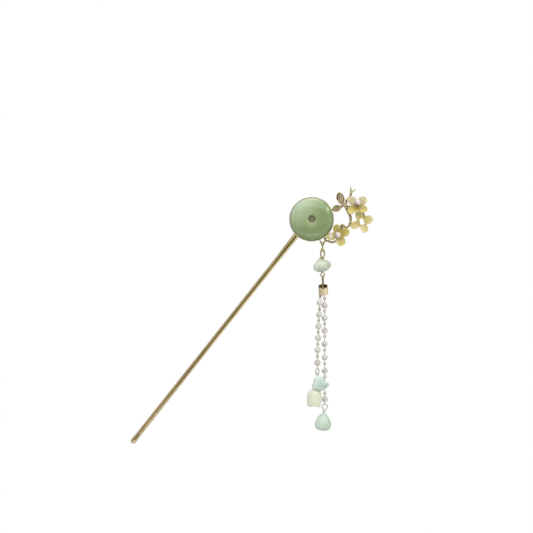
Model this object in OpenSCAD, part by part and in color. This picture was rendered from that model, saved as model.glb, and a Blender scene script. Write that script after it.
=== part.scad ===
// A hair stick: a gold-coloured stick with a domed green disc, a blossom twig and a hanging tassel.
// The stick lies in the plane Y = 0. The front, with the disc, faces -Y, and the tassel hangs along -Z.
// The origin is on the stick's axis, where the hair grips it.

/* [Stick] */
// Distance from the disc's centre to the stick's tip, along the stick
stick_reach = 143.5; // [125:0.1:160]
// Lean of the stick from the vertical, in degrees
stick_lean = 38.4; // [34:0.1:42]
// How far the disc's centre lies beside the stick's axis
stick_aside = 0.9; // [0:0.1:1.2]
// Distance from the disc's centre to the middle of the grip, along the stick
grip_reach = 75; // [60:1:85]
// Diameter of the plain shaft
shaft_d = 2.4; // [2.2:0.1:2.6]
// Diameter of the stick behind the cup
root_d = 3.0; // [2.8:0.1:3.1]
// Distance from the disc's centre at which the taper ends and the plain shaft starts
taper_reach = 27; // [22:1:34]
// Diameter of the rounded tip
tip_d = 2.8; // [2.5:0.1:2.9]
// Length of the swelling at the tip
tip_length = 7; // [5:0.5:9]
// How far the stick runs on behind the cup, past the disc's centre
stick_tail = 7; // [5:0.5:9]

/* [Cup and disc] */
// Outer diameter of the cup
cup_d = 22.3; // [22:0.1:23]
// Thickness of the cup's wall
cup_wall = 0.45; // [0.4:0.05:0.6]
// Thickness of the cup's floor
cup_floor = 0.9; // [0.8:0.1:1.2]
// Height of the cup's rim above its floor
rim_h = 1.8; // [1.4:0.1:2.2]
// Thickness of the disc at its crest
disc_h = 5.2; // [4.5:0.1:6]
// Diameter of the hole in the disc
disc_hole_d = 3.3; // [3:0.1:3.8]
// Radius of the hole's rounded lip
disc_lip_r = 1.3; // [1:0.1:1.5]
// Radius of the disc's rounded shoulder
disc_shoulder_r = 2.9; // [2.5:0.1:3.1]

/* [Blossoms] */
// Thickness of a petal in its middle
petal_t = 0.9; // [0.7:0.05:1.1]
// How far a petal's sides curl up
petal_cup = 0.55; // [0.3:0.05:0.8]
// How far a petal's tip rises above its root
petal_lift = 0.9; // [0.5:0.05:1.2]
// Diameter of the pearls
pearl_d = 3.0; // [2.8:0.1:3.2]
// Diameter of the pegs that carry blossoms and pearls
peg_d = 0.7; // [0.6:0.05:0.8]

/* [Leaves] */
// Thickness of a leaf plate
leaf_t = 0.9; // [0.8:0.05:1.1]
// Diameter of a stone in a leaf
stone_d = 0.88; // [0.7:0.02:0.88]
// Distance between the stones of a leaf
stone_pitch = 1.0; // [1:0.02:1.3]

/* [Tassel] */
// Diameter of the beads on the left strand
left_crystal_d = 3.2; // [2.9:0.1:3.2]
// Diameter of the beads on the right strand
right_crystal_d = 3.0; // [2.8:0.1:3.1]
// Diameter of the strands' wire
strand_wire_d = 0.42; // [0.38:0.02:0.44]
// Diameter of a wire loop, along the middle of its wire
strand_loop_d = 1.24; // [1.2:0.02:1.3]
// Width of the six-sided cap over its corners
cap_w = 5.3; // [5.1:0.05:5.5]
// Length of the cap
cap_length = 4.2; // [4:0.1:4.4]
// Lean of the cap's mouth towards the front, in degrees
cap_lean = 34; // [30:1:36]
// Roll of the cap, anticlockwise as seen from the front, in degrees
cap_roll = 4; // [2:1:6]
// Largest diameter of the bell bead
bell_d = 7.3; // [7:0.1:7.5]
// Length of the bell bead
bell_length = 9; // [8.7:0.1:9.2]
// Lean of the bell bead, mouth to the left, in degrees
bell_lean = 2.5; // [0:0.5:3]
// Size of the star bead, as a share of its usual size
star_size = 1; // [0.92:0.02:1.04]
// Largest diameter of the drop
drop_d = 7.5; // [7.2:0.1:7.8]
// Length of the drop
drop_length = 9; // [8.8:0.1:9.1]

/* [Hidden] */
$fn = 48;
gap = 0.05;
disc_x = grip_reach * sin(stick_lean) + stick_aside * cos(stick_lean);
disc_z = grip_reach * cos(stick_lean) - stick_aside * sin(stick_lean);
shaft_r = shaft_d / 2;
root_r = root_d / 2;
tip_r = tip_d / 2;
cup_r = cup_d / 2;
pocket_r = cup_r - cup_wall;
disc_r = pocket_r - 2 * gap;
disc_hole_r = disc_hole_d / 2;
floor_back = 0.9;
taper_start = cup_r - 1.5;
floor_front = floor_back + cup_floor;
peg_r = peg_d / 2;
bore_slack = 0.07;

// From here, places are seen from the front: x to the right and y up from the disc's centre, z to the front.

// The twig: x, y and z of each bend and the radius of the wire from there on
main_stem = [
    [6.5, -9.2, 2.3, 0.55], [7.0, -10.7, 2.2, 0.56], [8.5, -11.0, 1.9, 0.55], [10.1, -11.6, 1.8, 0.55],
    [12.4, -10.7, 1.6, 0.56], [14.0, -7.7, 1.5, 0.58], [15.1, -5.2, 1.6, 0.58], [15.2, -3.0, 2.0, 0.6],
    [17.0, -4.0, 2.4, 0.6], [18.4, -3.6, 2.5, 0.6], [19.3, -1.8, 2.4, 0.62], [19.4, 1.0, 2.2, 0.66],
    [18.5, 3.2, 2.0, 0.7], [17.4, 5.6, 1.8, 0.78], [17.0, 7.4, 1.4, 0.68], [17.6, 9.5, 0.9, 0.58],
    [19.3, 11.3, 0.6, 0.58], [19.8, 13.1, 0.6, 0.5]];
left_prong = [[19.8, 13.1, 0.6, 0.44], [19.5, 16.1, 0.7, 0.26]];
right_prong = [[19.8, 13.1, 0.6, 0.44], [20.8, 14.0, 0.6, 0.36], [21.9, 14.85, 0.6, 0.26]];
side_twig = [
    [17.3, 6.0, 1.8, 0.5], [20.0, 6.3, 1.5, 0.48], [22.8, 5.5, 1.6, 0.5], [24.9, 4.5, 1.5, 0.48],
    [26.2, 2.2, 1.5, 0.48], [26.0, 0.3, 1.4, 0.55]];
leaf_twig = [[17.2, 6.4, 1.9, 0.5], [15.6, 6.6, 2.2, 0.55]];
knot = 1.12;

// A leaf: its base, its tip, its width and the height of its back
upper_leaf = [[15.8, 6.2], [13.4, 13.5], 4.0, 1.9];
lower_leaf = [[15.9, 6.4], [9.9, 4.5], 3.3, 2.1];
leaf_rim = 0.82;
leaf_recess = 0.3;
leaf_start = 0.4;
leaf_steps = 12;
leaf_fullness = 0.85;
leaf_belly = 1.3;
stone_girdle_h = 0.14;
stone_h = 0.42;
stone_table = 0.6;

// A blossom: its centre, how far it nods up and turns right in degrees, and its petals.
// A petal: azimuth in degrees, length and half width.
upper_blossom_at = [22.7, 6.8, 3.9];
upper_blossom_nod = 35;
upper_blossom_turn = 0;
upper_petals = [[43, 6.2, 2.3], [135, 6.3, 2.3], [233, 6.9, 2.25], [314, 6.3, 2.3]];
side_blossom_at = [25.1, -1.45, 2.7];
side_petals = [[20, 5.9, 2.15], [114, 5.6, 2.0], [205, 6.3, 1.95], [291, 5.75, 1.85]];
lower_blossom_at = [13.15, -7.85, 4.0];
lower_blossom_nod = -5;
lower_blossom_turn = -6;
lower_petals = [[20, 6.15, 2.15], [100, 5.25, 2.0], [194, 5.9, 1.9], [294, 6.0, 2.3]];
// The open centre of the side blossom: two round holes that meet, each with its x, y and radius
side_holes = [[-0.2, 0.75, 1.0], [0.15, -0.4, 1.15]];
petal_root = 0.2;
petal_egg = 0.1;
petal_rings = 4;
petal_sectors = 18;
petal_edge = 0.45;
petal_sink = 0.3;
hub_r = 1.9;
hub_t = 0.9;
pearl_rise = 2.25;
peg_drop = 2.6;

// The tassel's line, the bail that carries it from the cup's rim, and the links down it
hang_x = 5.5;
hang_z = 2.5;
bail_wire_r = 0.36;
bail_foot_left = [4.0, -10.1, 2.3];
bail_apex = [hang_x, -13.62, hang_z];
bail_foot_right = [7.15, -9.5, 2.2];
link_wire_r = 0.3;
bail_link_top = bail_apex[1] + 2.05;
bail_link_length = 4.56;
bail_link_loop_r = 0.95;
bail_link_turn = 84;
oval_wall = 0.66;
oval_thick = 0.6;
oval_half_w = 0.93;
oval_top = -14.5;
oval_bottom = -20;
bud_at = [5.1, -23.38, hang_z];
bud_r = [4.37, 3.7, 3.05];
bud_slant = 0.13;
bud_lobes = 5;
bud_lobe_depth = 0.04;
bud_sectors = 20;
// The bud's raised point: its x and z from the bead's middle, its height and how far it spreads
bud_peak = [-0.85, -0.9, 1.55, 1.5];
bud_wire_r = 0.2;
bud_top_loop_r = 0.95;
bud_hook = 1.2;
bud_ring_r = 1.03;
bud_ring_y = -27.78;
link_pocket_r = 1.2;
link_pocket_up = 0.72;
cap_link_loop_r = 0.72;
cap_link_turn = 20;
cap_link_play = 0.15;
cap_at = [5.83, -35.25, hang_z - 0.75];
cap_eye_forward = 0.35;
cap_eye_r = 0.68;
cap_eye_sink = 0.08;
cap_web = 0.7;
cap_wall = 0.42;
cap_sides = 6;
cap_turn = 30;
left_eye_root = [-0.9, 0.6];
right_eye_root = [0.6, -0.1];

// The strands: where their joints lie. A pin's shank is thinner than its loops by a share.
strand_r = strand_wire_d / 2;
shank = 0.85;
loop_r = strand_loop_d / 2;
joint_play = 0.03;
joint_half = loop_r - strand_r - joint_play;
// x and y of each joint of the left strand
left_joints = [[4.3, -38.5], [4.0, -44.9], [3.65, -50.5], [3.4, -56.4], [3.15, -62.2], [2.95, -68.4],
    [2.9, -74.85]];
left_count = len(left_joints) - 1;
left_z = [1.1, 2.2];
left_loop_turn = 60;
right_x = [6.6, 6.75];
right_z = [-0.3, -1.0];
right_joint_y = [-39.95, -46.35, -52.55, -58.95, -65.85, -72.45, -79.2, -87.45, -92.74];
right_count = len(right_joint_y) - 1;
// A cut bead: shares of its radius out from its bore and along it
crystal_neck = 0.5;
crystal_bevel = 0.92;
crystal_belt = 0.45;
crystal_half = 0.9;
crystal_sides = 12;

left_ring_r = 0.8;
left_ring_length = 2.75;
ring_wire_r = 0.22;
left_bottom = [left_joints[left_count][0], left_joints[left_count][1], left_z[1]];
left_ring_rise = 0.27;
left_ring_top = left_bottom + [0, left_ring_rise, 0];
left_ring_at = left_ring_top + [0, left_ring_r - left_ring_length, 0];
charm_loop_r = 0.64;
charm_hang = 0.1;
charm_wire_r = 0.17;
star_hook = 66;
bell_hook = 114;
star_at = [4.3, -81.85, 3.15];
// A lobe of the star: its reach, and the share of it that is left in the valley after it
star_lobes = [[4.5, 0.7], [3.45, 0.88], [4.1, 0.8], [4.6, 0.9], [3.9, 0.86]];
star_bore_depth = 1.5;
star_half_t = 1.6;
star_turn = -10;
star_sectors = 30;
bell_at = [1.6, -84.6, 0.9];
bell_wall = 0.9;
bell_hollow = 3.4;
bell_mouth = 0.87;
bell_crown = 0.85;
bell_shoulder = 0.97;
bell_belly_at = 0.52;
bell_skirt_at = 0.75;
bell_lip_up = 0.34;
bell_pin_rise = 0.5;
bell_pin_tail = 0.75;
bell_lobes = 4;
bell_first_notch = -86;
bell_notch_r = 1.25;
bell_notch_drop = 0.6;
drop_at = [5.9, -101.25, right_z[1]];
drop_lean = 5;
drop_egg = 0.4;
drop_foot_power = 0.8;
eye_loop_r = 1.28;
eye_at = [6.75, -93.75, right_z[1]];
eye_foot = [6.4, -96.5, right_z[1]];
eye_foot_r = 0.45;
eye_stem = 3;
eye_spread = 38;
eye_knot = 1.25;
eye_side = 0.95;

// Puts a shape that is drawn as seen from the front on the stick's head
module on_head() {
    translate([disc_x, 0, disc_z]) rotate([90, 0, 0]) children();
}

// Lays a shape's +Z from one point towards another
module along(start, end) {
    run = end - start;
    translate(start) rotate([0, acos(run.z / norm(run)), atan2(run.y, run.x)]) children();
}

// A straight wire between two points
module wire(start, end, r) {
    along(start, end) cylinder(h = norm(end - start), r = r);
}

// A ring of wire in the plane of X and Y
module ring(loop, wire) {
    rotate_extrude() translate([loop, 0]) circle(wire);
}

// Part of such a ring, from one angle on
module arc(loop, wire, from, sweep) {
    rotate([0, 0, from]) rotate_extrude(angle = sweep) translate([loop, 0]) circle(wire);
}

function place(row) = [row[0], row[1], row[2]];

// A twig: a wire from bend to bend, with a knot at each bend
module twig(bends) {
    last = len(bends) - 1;
    for (i = [0:last - 1]) wire(place(bends[i]), place(bends[i + 1]), bends[i][3]);
    for (i = [0:last]) translate(place(bends[i])) sphere(max(bends[i][3], bends[max(i - 1, 0)][3]) * knot);
}

// A closed skin from a first point over rings of points to a last point
module skin(first, rings, last) {
    count = len(rings[0]);
    levels = len(rings);
    points = concat([first], [for (level = rings) each level], [last]);
    end = len(points) - 1;
    function at(i, j) = 1 + i * count + j % count;
    faces = concat(
        [for (j = [0:count - 1]) [0, at(0, j + 1), at(0, j)]],
        [for (i = [0:levels - 2], j = [0:count - 1])
            each [[at(i, j), at(i, j + 1), at(i + 1, j)], [at(i + 1, j), at(i, j + 1), at(i + 1, j + 1)]]],
        [for (j = [0:count - 1]) [end, at(levels - 1, j), at(levels - 1, j + 1)]]);
    polyhedron(points, faces);
}

module stick() {
    profile = concat(
        [[0, -stick_tail], [root_r / 2, -stick_tail], [root_r, root_r / 2 - stick_tail],
         [root_r, taper_start], [shaft_r, taper_reach], [shaft_r, stick_reach - tip_length],
         [tip_r, stick_reach - 2 * tip_r]],
        [for (a = [0:15:90]) [tip_r * cos(a), stick_reach - tip_r + tip_r * sin(a)]]);
    rotate([0, 0, 270 - stick_lean]) translate([0, -stick_aside, 0]) rotate([0, 90, 0])
        rotate_extrude() polygon(profile);
}

// Half the width of a leaf, as a share, from its base at 0 to its tip at 1
function leaf_half(t) = pow(sin(180 * pow(t, leaf_belly)), leaf_fullness) / 2;

module leaf_outline(length, width) {
    polygon(concat(
        [for (i = [0:leaf_steps]) let (t = i / leaf_steps) [width * leaf_half(t), length * t]],
        [for (i = [leaf_steps - 1:-1:1]) let (t = i / leaf_steps) [-width * leaf_half(t), length * t]]));
}

// Lays a leaf's own frame, base at the origin and tip along +Y, in its place
module on_leaf(leaf) {
    run = leaf[1] - leaf[0];
    translate([leaf[0][0], leaf[0][1], leaf[3]]) rotate([0, 0, atan2(run.y, run.x) - 90]) children();
}

module leaf_plate(leaf) {
    length = norm(leaf[1] - leaf[0]);
    on_leaf(leaf) difference() {
        linear_extrude(leaf_t) leaf_outline(length, leaf[2]);
        translate([0, length * (1 - leaf_rim) / 2, leaf_t - leaf_recess])
            linear_extrude(leaf_t) leaf_outline(length * leaf_rim, leaf[2] * leaf_rim);
    }
}

module blossom_frame(at, nod, turn) {
    translate(at) rotate([-nod, turn, 0]) children();
}

module peg(at, nod, turn) {
    blossom_frame(at, nod, turn) translate([0, 0, -peg_drop]) cylinder(h = peg_drop + pearl_rise, r = peg_r);
}

module bail() {
    wire(bail_foot_left, bail_apex, bail_wire_r);
    wire(bail_apex, bail_foot_right, bail_wire_r);
    translate(bail_apex) sphere(bail_wire_r * knot);
}

module metal_frame() {
    color("goldenrod") on_head() difference() {
        union() {
            stick();
            translate([0, 0, floor_back]) cylinder(h = cup_floor + rim_h, r = cup_r);
            twig(main_stem);
            twig(left_prong);
            twig(right_prong);
            twig(side_twig);
            twig(leaf_twig);
            bail();
            leaf_plate(upper_leaf);
            leaf_plate(lower_leaf);
            peg(upper_blossom_at, upper_blossom_nod, upper_blossom_turn);
            peg(lower_blossom_at, lower_blossom_nod, lower_blossom_turn);
        }
        translate([0, 0, floor_front]) cylinder(h = 2 * rim_h, r = pocket_r);
    }
}

// Height of the disc's gentle dome at a radius
dome_crest_r = 5;
dome_fall = 0.05;
function dome(r) = disc_h - dome_fall * pow(r - dome_crest_r, 2);

module jade_disc() {
    lip = [disc_hole_r + disc_lip_r, dome(disc_hole_r + disc_lip_r) - disc_lip_r];
    shoulder_x = disc_r - disc_shoulder_r;
    shoulder_y = dome(shoulder_x + disc_shoulder_r * cos(75)) - disc_shoulder_r * sin(75);
    profile = concat(
        [[disc_hole_r, 0]],
        [for (a = [180:-15:90]) lip + disc_lip_r * [cos(a), sin(a)]],
        [for (r = [lip[0] + 1:1:shoulder_x]) [r, dome(r)]],
        [for (a = [75:-15:0]) [shoulder_x, shoulder_y] + disc_shoulder_r * [cos(a), sin(a)]],
        [[disc_r, 0]]);
    color("darkseagreen") on_head() translate([0, 0, floor_front + gap]) rotate_extrude() polygon(profile);
}

module stone() {
    girdle_r = stone_d / 2;
    rotate_extrude($fn = 8)
        polygon([[0, 0], [girdle_r, 0], [girdle_r, stone_girdle_h], [girdle_r * stone_table, stone_h],
            [0, stone_h]]);
}

// Rows of stones that fill a leaf's recess
module leaf_field(leaf) {
    length = norm(leaf[1] - leaf[0]) * leaf_rim;
    width = leaf[2] * leaf_rim;
    base = length * (1 / leaf_rim - 1) / 2;
    margin = stone_d / 2 + gap;
    on_leaf(leaf) for (y = [margin + leaf_start:stone_pitch:length - margin]) {
        room = width * leaf_half(y / length) - margin - gap;
        count = room < 0 ? 0 : floor(2 * room / stone_pitch) + 1;
        for (i = [0:1:count - 1])
            translate([(i - (count - 1) / 2) * stone_pitch, base + y, leaf_t - leaf_recess + gap]) stone();
    }
}

module leaf_stones() {
    color("cornsilk") on_head() {
        leaf_field(upper_leaf);
        leaf_field(lower_leaf);
    }
}

// A cupped petal from the root at petal_root to the tip at its length along +X
module petal(length, half_w) {
    middle = (length + petal_root) / 2;
    half_l = (length - petal_root) / 2;
    function point(share, a, side) = let (
        x = middle + half_l * share * cos(a),
        y = half_w * share * sin(a) * (1 + petal_egg * cos(a)),
        bend = petal_lift * (pow(x / length, 2) - petal_sink) + petal_cup * pow(y / half_w, 2),
        half_t = petal_t / 2 * (1 - (1 - petal_edge) * share * share))
        [x, y, bend + side * half_t];
    function round_ring(share, side) =
        [for (j = [0:petal_sectors - 1]) point(share, j * 360 / petal_sectors, side)];
    skin(point(0, 0, 1),
        concat([for (k = [1:petal_rings]) round_ring(k / petal_rings, 1)],
            [for (k = [petal_rings:-1:1]) round_ring(k / petal_rings, -1)]),
        point(0, 0, -1));
}

module petals(rows) {
    for (row = rows) rotate([0, 0, row[0]]) petal(row[1], row[2]);
    translate([0, 0, -hub_t / 2]) cylinder(h = hub_t, r = hub_r);
}

module pegged_blossom(at, nod, turn, rows) {
    blossom_frame(at, nod, turn) difference() {
        petals(rows);
        translate([0, 0, -peg_drop]) cylinder(h = 2 * peg_drop, r = peg_r + bore_slack);
    }
}

module flower_upper() {
    color("khaki") on_head()
        pegged_blossom(upper_blossom_at, upper_blossom_nod, upper_blossom_turn, upper_petals);
}

module flower_lower() {
    color("khaki") on_head()
        pegged_blossom(lower_blossom_at, lower_blossom_nod, lower_blossom_turn, lower_petals);
}

// The side blossom has an open centre, a ring that its petals stand on
module flower_side() {
    color("khaki") on_head() translate(side_blossom_at) difference() {
        petals(side_petals);
        for (hole = side_holes) translate([hole[0], hole[1], -peg_drop])
            cylinder(h = 2 * peg_drop, r = hole[2]);
    }
}

module pearl(at, nod, turn) {
    color("linen") on_head() blossom_frame(at, nod, turn) translate([0, 0, pearl_rise]) difference() {
        sphere(pearl_d / 2);
        translate([0, 0, -pearl_d]) cylinder(h = pearl_d + gap, r = peg_r + bore_slack);
    }
}

module pearl_upper() {
    pearl(upper_blossom_at, upper_blossom_nod, upper_blossom_turn);
}

module pearl_lower() {
    pearl(lower_blossom_at, lower_blossom_nod, lower_blossom_turn);
}

// A link with two straight sides, hanging down from the middle of its top bend. Turn 0 faces the front.
module long_link(top, length, loop, wire, turn) {
    straight = length - 2 * loop;
    translate(top) rotate([0, turn, 0]) {
        translate([0, -loop, 0]) arc(loop, wire, 0, 180);
        translate([0, -loop - straight, 0]) arc(loop, wire, 180, 180);
        for (side = [-1, 1]) translate([side * loop, -loop, 0]) rotate([90, 0, 0])
            cylinder(h = straight, r = wire);
    }
}

module bail_link() {
    color("goldenrod") on_head()
        long_link([hang_x, bail_link_top, hang_z], bail_link_length, bail_link_loop_r, link_wire_r,
            bail_link_turn);
}

// The space that two upright rounds share, with a point above and below
module shared(r, apart, h) {
    intersection() {
        translate([-apart, 0, -h / 2]) cylinder(h = h, r = r);
        translate([apart, 0, -h / 2]) cylinder(h = h, r = r);
    }
}

// The flat link has two bows that meet in a blunt point above and below
module oval_link() {
    half = (oval_top - oval_bottom) / 2;
    bow_r = (half * half + oval_half_w * oval_half_w) / (2 * oval_half_w);
    apart = bow_r - oval_half_w;
    reach = [oval_half_w + oval_wall, half + oval_wall / 2, oval_thick];
    color("goldenrod") on_head() translate([hang_x, oval_top - half, hang_z]) difference() {
        intersection() {
            shared(bow_r + oval_wall / 2, apart, oval_thick);
            cube(2 * reach, center = true);
        }
        shared(bow_r - oval_wall / 2, apart, 2 * oval_thick);
    }
}

bud_top_loop_y = oval_bottom + bud_hook - bud_top_loop_r;

// The bead is a lobed, slanting nugget with one raised point beside its bore
module bud_bead() {
    link_slot = oval_thick / 2 + 2 * gap;
    loop_slot = bud_wire_r + 2 * gap;
    function shape_at(tilt, a) = let (
        swell = 1 + bud_lobe_depth * cos(bud_lobes * a) * cos(tilt),
        x = bud_r[0] * swell * cos(tilt) * cos(a),
        z = -bud_r[1] * swell * cos(tilt) * sin(a),
        away = norm([x - bud_peak[0], z - bud_peak[1]]) / bud_peak[3])
        [x, bud_r[2] * sin(tilt) + bud_slant * x + (tilt > 0 ? bud_peak[2] * exp(-away * away) : 0), z];
    color("honeydew") on_head() difference() {
        translate(bud_at) skin(shape_at(90, 0),
            [for (tilt = [75:-15:-75]) [for (j = [0:bud_sectors - 1]) shape_at(tilt, j * 360 / bud_sectors)]],
            shape_at(-90, 0));
        translate([hang_x, bud_at[1] + 2 * bud_r[2], hang_z]) rotate([90, 0, 0])
            cylinder(h = 4 * bud_r[2], r = bud_wire_r + bore_slack);
        translate([hang_x, oval_bottom + link_pocket_up, hang_z - link_slot])
            cylinder(h = 2 * link_slot, r = link_pocket_r);
        translate([hang_x - loop_slot, bud_top_loop_y, hang_z]) rotate([0, 90, 0])
            cylinder(h = 2 * loop_slot, r = bud_top_loop_r + loop_slot);
    }
}

module bud_pin() {
    color("goldenrod") on_head() {
        translate([hang_x, bud_top_loop_y, hang_z]) rotate([0, 90, 0]) ring(bud_top_loop_r, bud_wire_r);
        translate([hang_x, bud_ring_y, hang_z]) ring(bud_ring_r, bud_wire_r);
        wire([hang_x, bud_top_loop_y - bud_top_loop_r, hang_z], [hang_x, bud_ring_y + bud_ring_r, hang_z],
            bud_wire_r * shank);
    }
}

// A point of the cap: x to the right, forward to its leaning front, and up its own axis
function cap_point(x, forward, up) = let (y = up * cos(cap_lean) - forward * sin(cap_lean)) cap_at + [
    x * cos(cap_roll) - y * sin(cap_roll),
    x * sin(cap_roll) + y * cos(cap_roll),
    up * sin(cap_lean) + forward * cos(cap_lean)];

cap_link_top = bud_ring_y - bud_ring_r + bud_wire_r + link_wire_r + cap_link_play;
cap_eye_at = cap_point(0, cap_eye_forward, cap_web / 2 + cap_eye_r - cap_eye_sink);
cap_link_bottom = cap_eye_at[1] + cap_eye_r - link_wire_r - bud_wire_r - cap_link_play;

module cap_link() {
    top = [hang_x, cap_link_top, hang_z];
    foot = [cap_eye_at[0], cap_link_bottom, hang_z];
    color("goldenrod") on_head() along(top, foot) rotate([-90, 0, cap_link_turn])
        long_link([0, 0, 0], norm(foot - top), cap_link_loop_r, link_wire_r, 0);
}

module strand_eye(at, root, turn) {
    translate(at) rotate([0, turn, 0]) ring(loop_r, strand_r);
    wire(root, at + [0, loop_r, 0], strand_r * shank);
}

module tassel_cap() {
    bore_r = cap_w / 2 - cap_wall / cos(180 / cap_sides);
    color("burlywood") on_head() {
        translate(cap_at) rotate([0, 0, cap_roll]) rotate([cap_lean - 90, 0, 0]) rotate([0, 0, cap_turn])
            difference() {
                cylinder(h = cap_length, r = cap_w / 2, center = true, $fn = cap_sides);
                translate([0, 0, cap_web / 2]) cylinder(h = cap_length, r = bore_r, $fn = cap_sides);
                translate([0, 0, -cap_length - cap_web / 2])
                    cylinder(h = cap_length, r = bore_r, $fn = cap_sides);
            }
        translate(cap_eye_at) ring(cap_eye_r, bud_wire_r);
        strand_eye(left_joint(0) + [0, joint_half, 0], cap_point(left_eye_root[0], left_eye_root[1], 0),
            left_loop_turn);
        strand_eye(right_joint(0) + [0, joint_half, 0], cap_point(right_eye_root[0], right_eye_root[1], 0), 0);
    }
}

// A pin between two joints, with a loop at each end. Turn 0 faces the front.
module eye_pin(top, bottom, top_turn, bottom_turn) {
    length = norm(bottom - top);
    along(top, bottom) {
        translate([0, 0, joint_half]) rotate([90, 0, 90 - top_turn]) ring(loop_r, strand_r);
        translate([0, 0, length - joint_half]) rotate([90, 0, 90 - bottom_turn]) ring(loop_r, strand_r);
        translate([0, 0, joint_half + loop_r])
            cylinder(h = length - 2 * (joint_half + loop_r), r = strand_r * shank);
    }
}

// A cut bead, drilled, in the middle between two joints
module crystal(top, bottom, d) {
    hole = strand_r + bore_slack;
    r = d / 2;
    color("whitesmoke") on_head() along(top, bottom) translate([0, 0, norm(bottom - top) / 2])
        rotate_extrude($fn = crystal_sides) polygon([
            [hole, -crystal_half * r], [crystal_neck * r, -crystal_half * r],
            [crystal_bevel * r, -crystal_belt * r],
            [r, 0], [crystal_bevel * r, crystal_belt * r], [crystal_neck * r, crystal_half * r],
            [hole, crystal_half * r]]);
}

function left_joint(i) = [left_joints[i][0], left_joints[i][1],
    left_z[0] + (left_z[1] - left_z[0]) * i / left_count];

function right_joint(i) = let (t = i / right_count)
    [right_x[0] + (right_x[1] - right_x[0]) * t, right_joint_y[i], right_z[0] + (right_z[1] - right_z[0]) * t];

module left_links() {
    color("darkkhaki") on_head() for (i = [1:left_count])
        eye_pin(left_joint(i - 1), left_joint(i), left_loop_turn - 90, i < left_count ? left_loop_turn : 90);
}

module right_links() {
    color("darkkhaki") on_head() for (i = [1:right_count])
        eye_pin(right_joint(i - 1), right_joint(i), 90, i < right_count ? 0 : 90);
}

module left_crystal(i) {
    crystal(left_joint(i - 1), left_joint(i), left_crystal_d);
}

module right_crystal(i) {
    crystal(right_joint(i - 1), right_joint(i), right_crystal_d);
}

module left_ring() {
    color("darkkhaki") on_head() long_link(left_ring_top, left_ring_length, left_ring_r, ring_wire_r, 0);
}

// The place in the ring where a charm's loop hangs, by its angle under the centre of the ring's lower bend
function hook(angle) = left_ring_at + (left_ring_r + charm_hang) * [cos(angle), -sin(angle), 0];

// A pin that hangs by its loop
module charm_pin(top, end) {
    along(top, end) {
        rotate([90, 0, 0]) ring(charm_loop_r, charm_wire_r);
        translate([0, 0, charm_loop_r]) cylinder(h = norm(end - top) - charm_loop_r, r = charm_wire_r * shank);
    }
}

star_line = (star_at - hook(star_hook)) / norm(star_at - hook(star_hook));
star_foot = star_at + star_line * star_bore_depth;

module star_pin() {
    color("darkkhaki") on_head() charm_pin(hook(star_hook), star_foot);
}

// A flat star with five rounded lobes of unlike reach
module star_bead() {
    count = len(star_lobes);
    step = 360 / count;
    function reach(a) = let (
        i = floor(a / step),
        share = a / step - i,
        lobe = star_lobes[i % count],
        next = star_lobes[(i + 1) % count],
        valley = (1 - lobe[1]) * (1 - cos(count * a)) / 2)
        star_size * (lobe[0] * (1 - share) + next[0] * share) * (1 - valley);
    function shape_at(tilt, a) = [
        reach(a) * cos(tilt) * cos(a), reach(a) * cos(tilt) * sin(a), star_half_t * sin(tilt)];
    color("paleturquoise") on_head() difference() {
        translate(star_at) rotate([0, 0, star_turn]) skin(shape_at(90, 0),
            [for (tilt = [65:-26:-65]) [for (j = [0:star_sectors - 1]) shape_at(tilt, j * 360 / star_sectors)]],
            shape_at(-90, 0));
        wire(star_at - star_line * star_lobes[0][0], star_foot + star_line * gap, charm_wire_r + bore_slack);
    }
}

bell_pin_end = bell_at - [0, bell_length - bell_hollow + bell_pin_tail, 0];

// The bell's pin comes down slantwise behind the star and then runs straight down its bore
module bell_pin() {
    bend = bell_at + [0, bell_pin_rise, 0];
    color("darkkhaki") on_head() {
        charm_pin(hook(bell_hook), bend);
        translate(bend) sphere(charm_wire_r);
        wire(bend, bell_pin_end, charm_wire_r * shank);
        translate(bell_pin_end) sphere(charm_wire_r * 2);
    }
}

// A tulip-shaped bell, solid above and hollow at its scalloped mouth
module bell_bead() {
    r = bell_d / 2;
    lip_r = r * bell_mouth - bell_wall;
    outside = concat(
        [for (a = [90:-15:15]) [r * bell_shoulder * cos(a), -r * bell_crown * (1 - sin(a))]],
        [[r, -bell_length * bell_belly_at], [r * bell_shoulder, -bell_length * bell_skirt_at],
         [r * bell_mouth, -bell_length]]);
    inside = concat(
        [[lip_r, -bell_length]],
        [for (a = [0:15:90])
            [lip_r * cos(a), bell_lip_up + (bell_hollow - bell_lip_up) * sin(a) - bell_length]]);
    color("palegoldenrod") on_head() translate(bell_at) difference() {
        rotate([0, 0, -bell_lean]) rotate([-90, 0, 0]) difference() {
            rotate_extrude() polygon(concat(outside, inside));
            for (i = [0:bell_lobes - 1]) rotate([0, 0, bell_first_notch + i * 360 / bell_lobes])
                translate([r, 0, -bell_length - bell_notch_drop]) rotate([0, 90, 0])
                    cylinder(h = 3 * bell_wall, r = bell_notch_r, center = true);
        }
        translate([0, gap, 0]) rotate([90, 0, 0]) cylinder(h = bell_length, r = charm_wire_r + bore_slack);
    }
}

module drop_eye() {
    color("darkkhaki") on_head() {
        translate(eye_at) arc(eye_loop_r, strand_r, -eye_spread, 180 + 2 * eye_spread);
        for (side = [-1, 1]) {
            shoulder = eye_at + eye_loop_r * [side * cos(eye_spread), -sin(eye_spread), 0];
            wire(shoulder, eye_foot, strand_r * eye_side);
            translate(shoulder) sphere(strand_r * eye_knot);
        }
        translate(eye_foot) sphere(eye_foot_r);
        wire(eye_foot, eye_foot - [0, eye_stem, 0], strand_r);
    }
}

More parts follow.
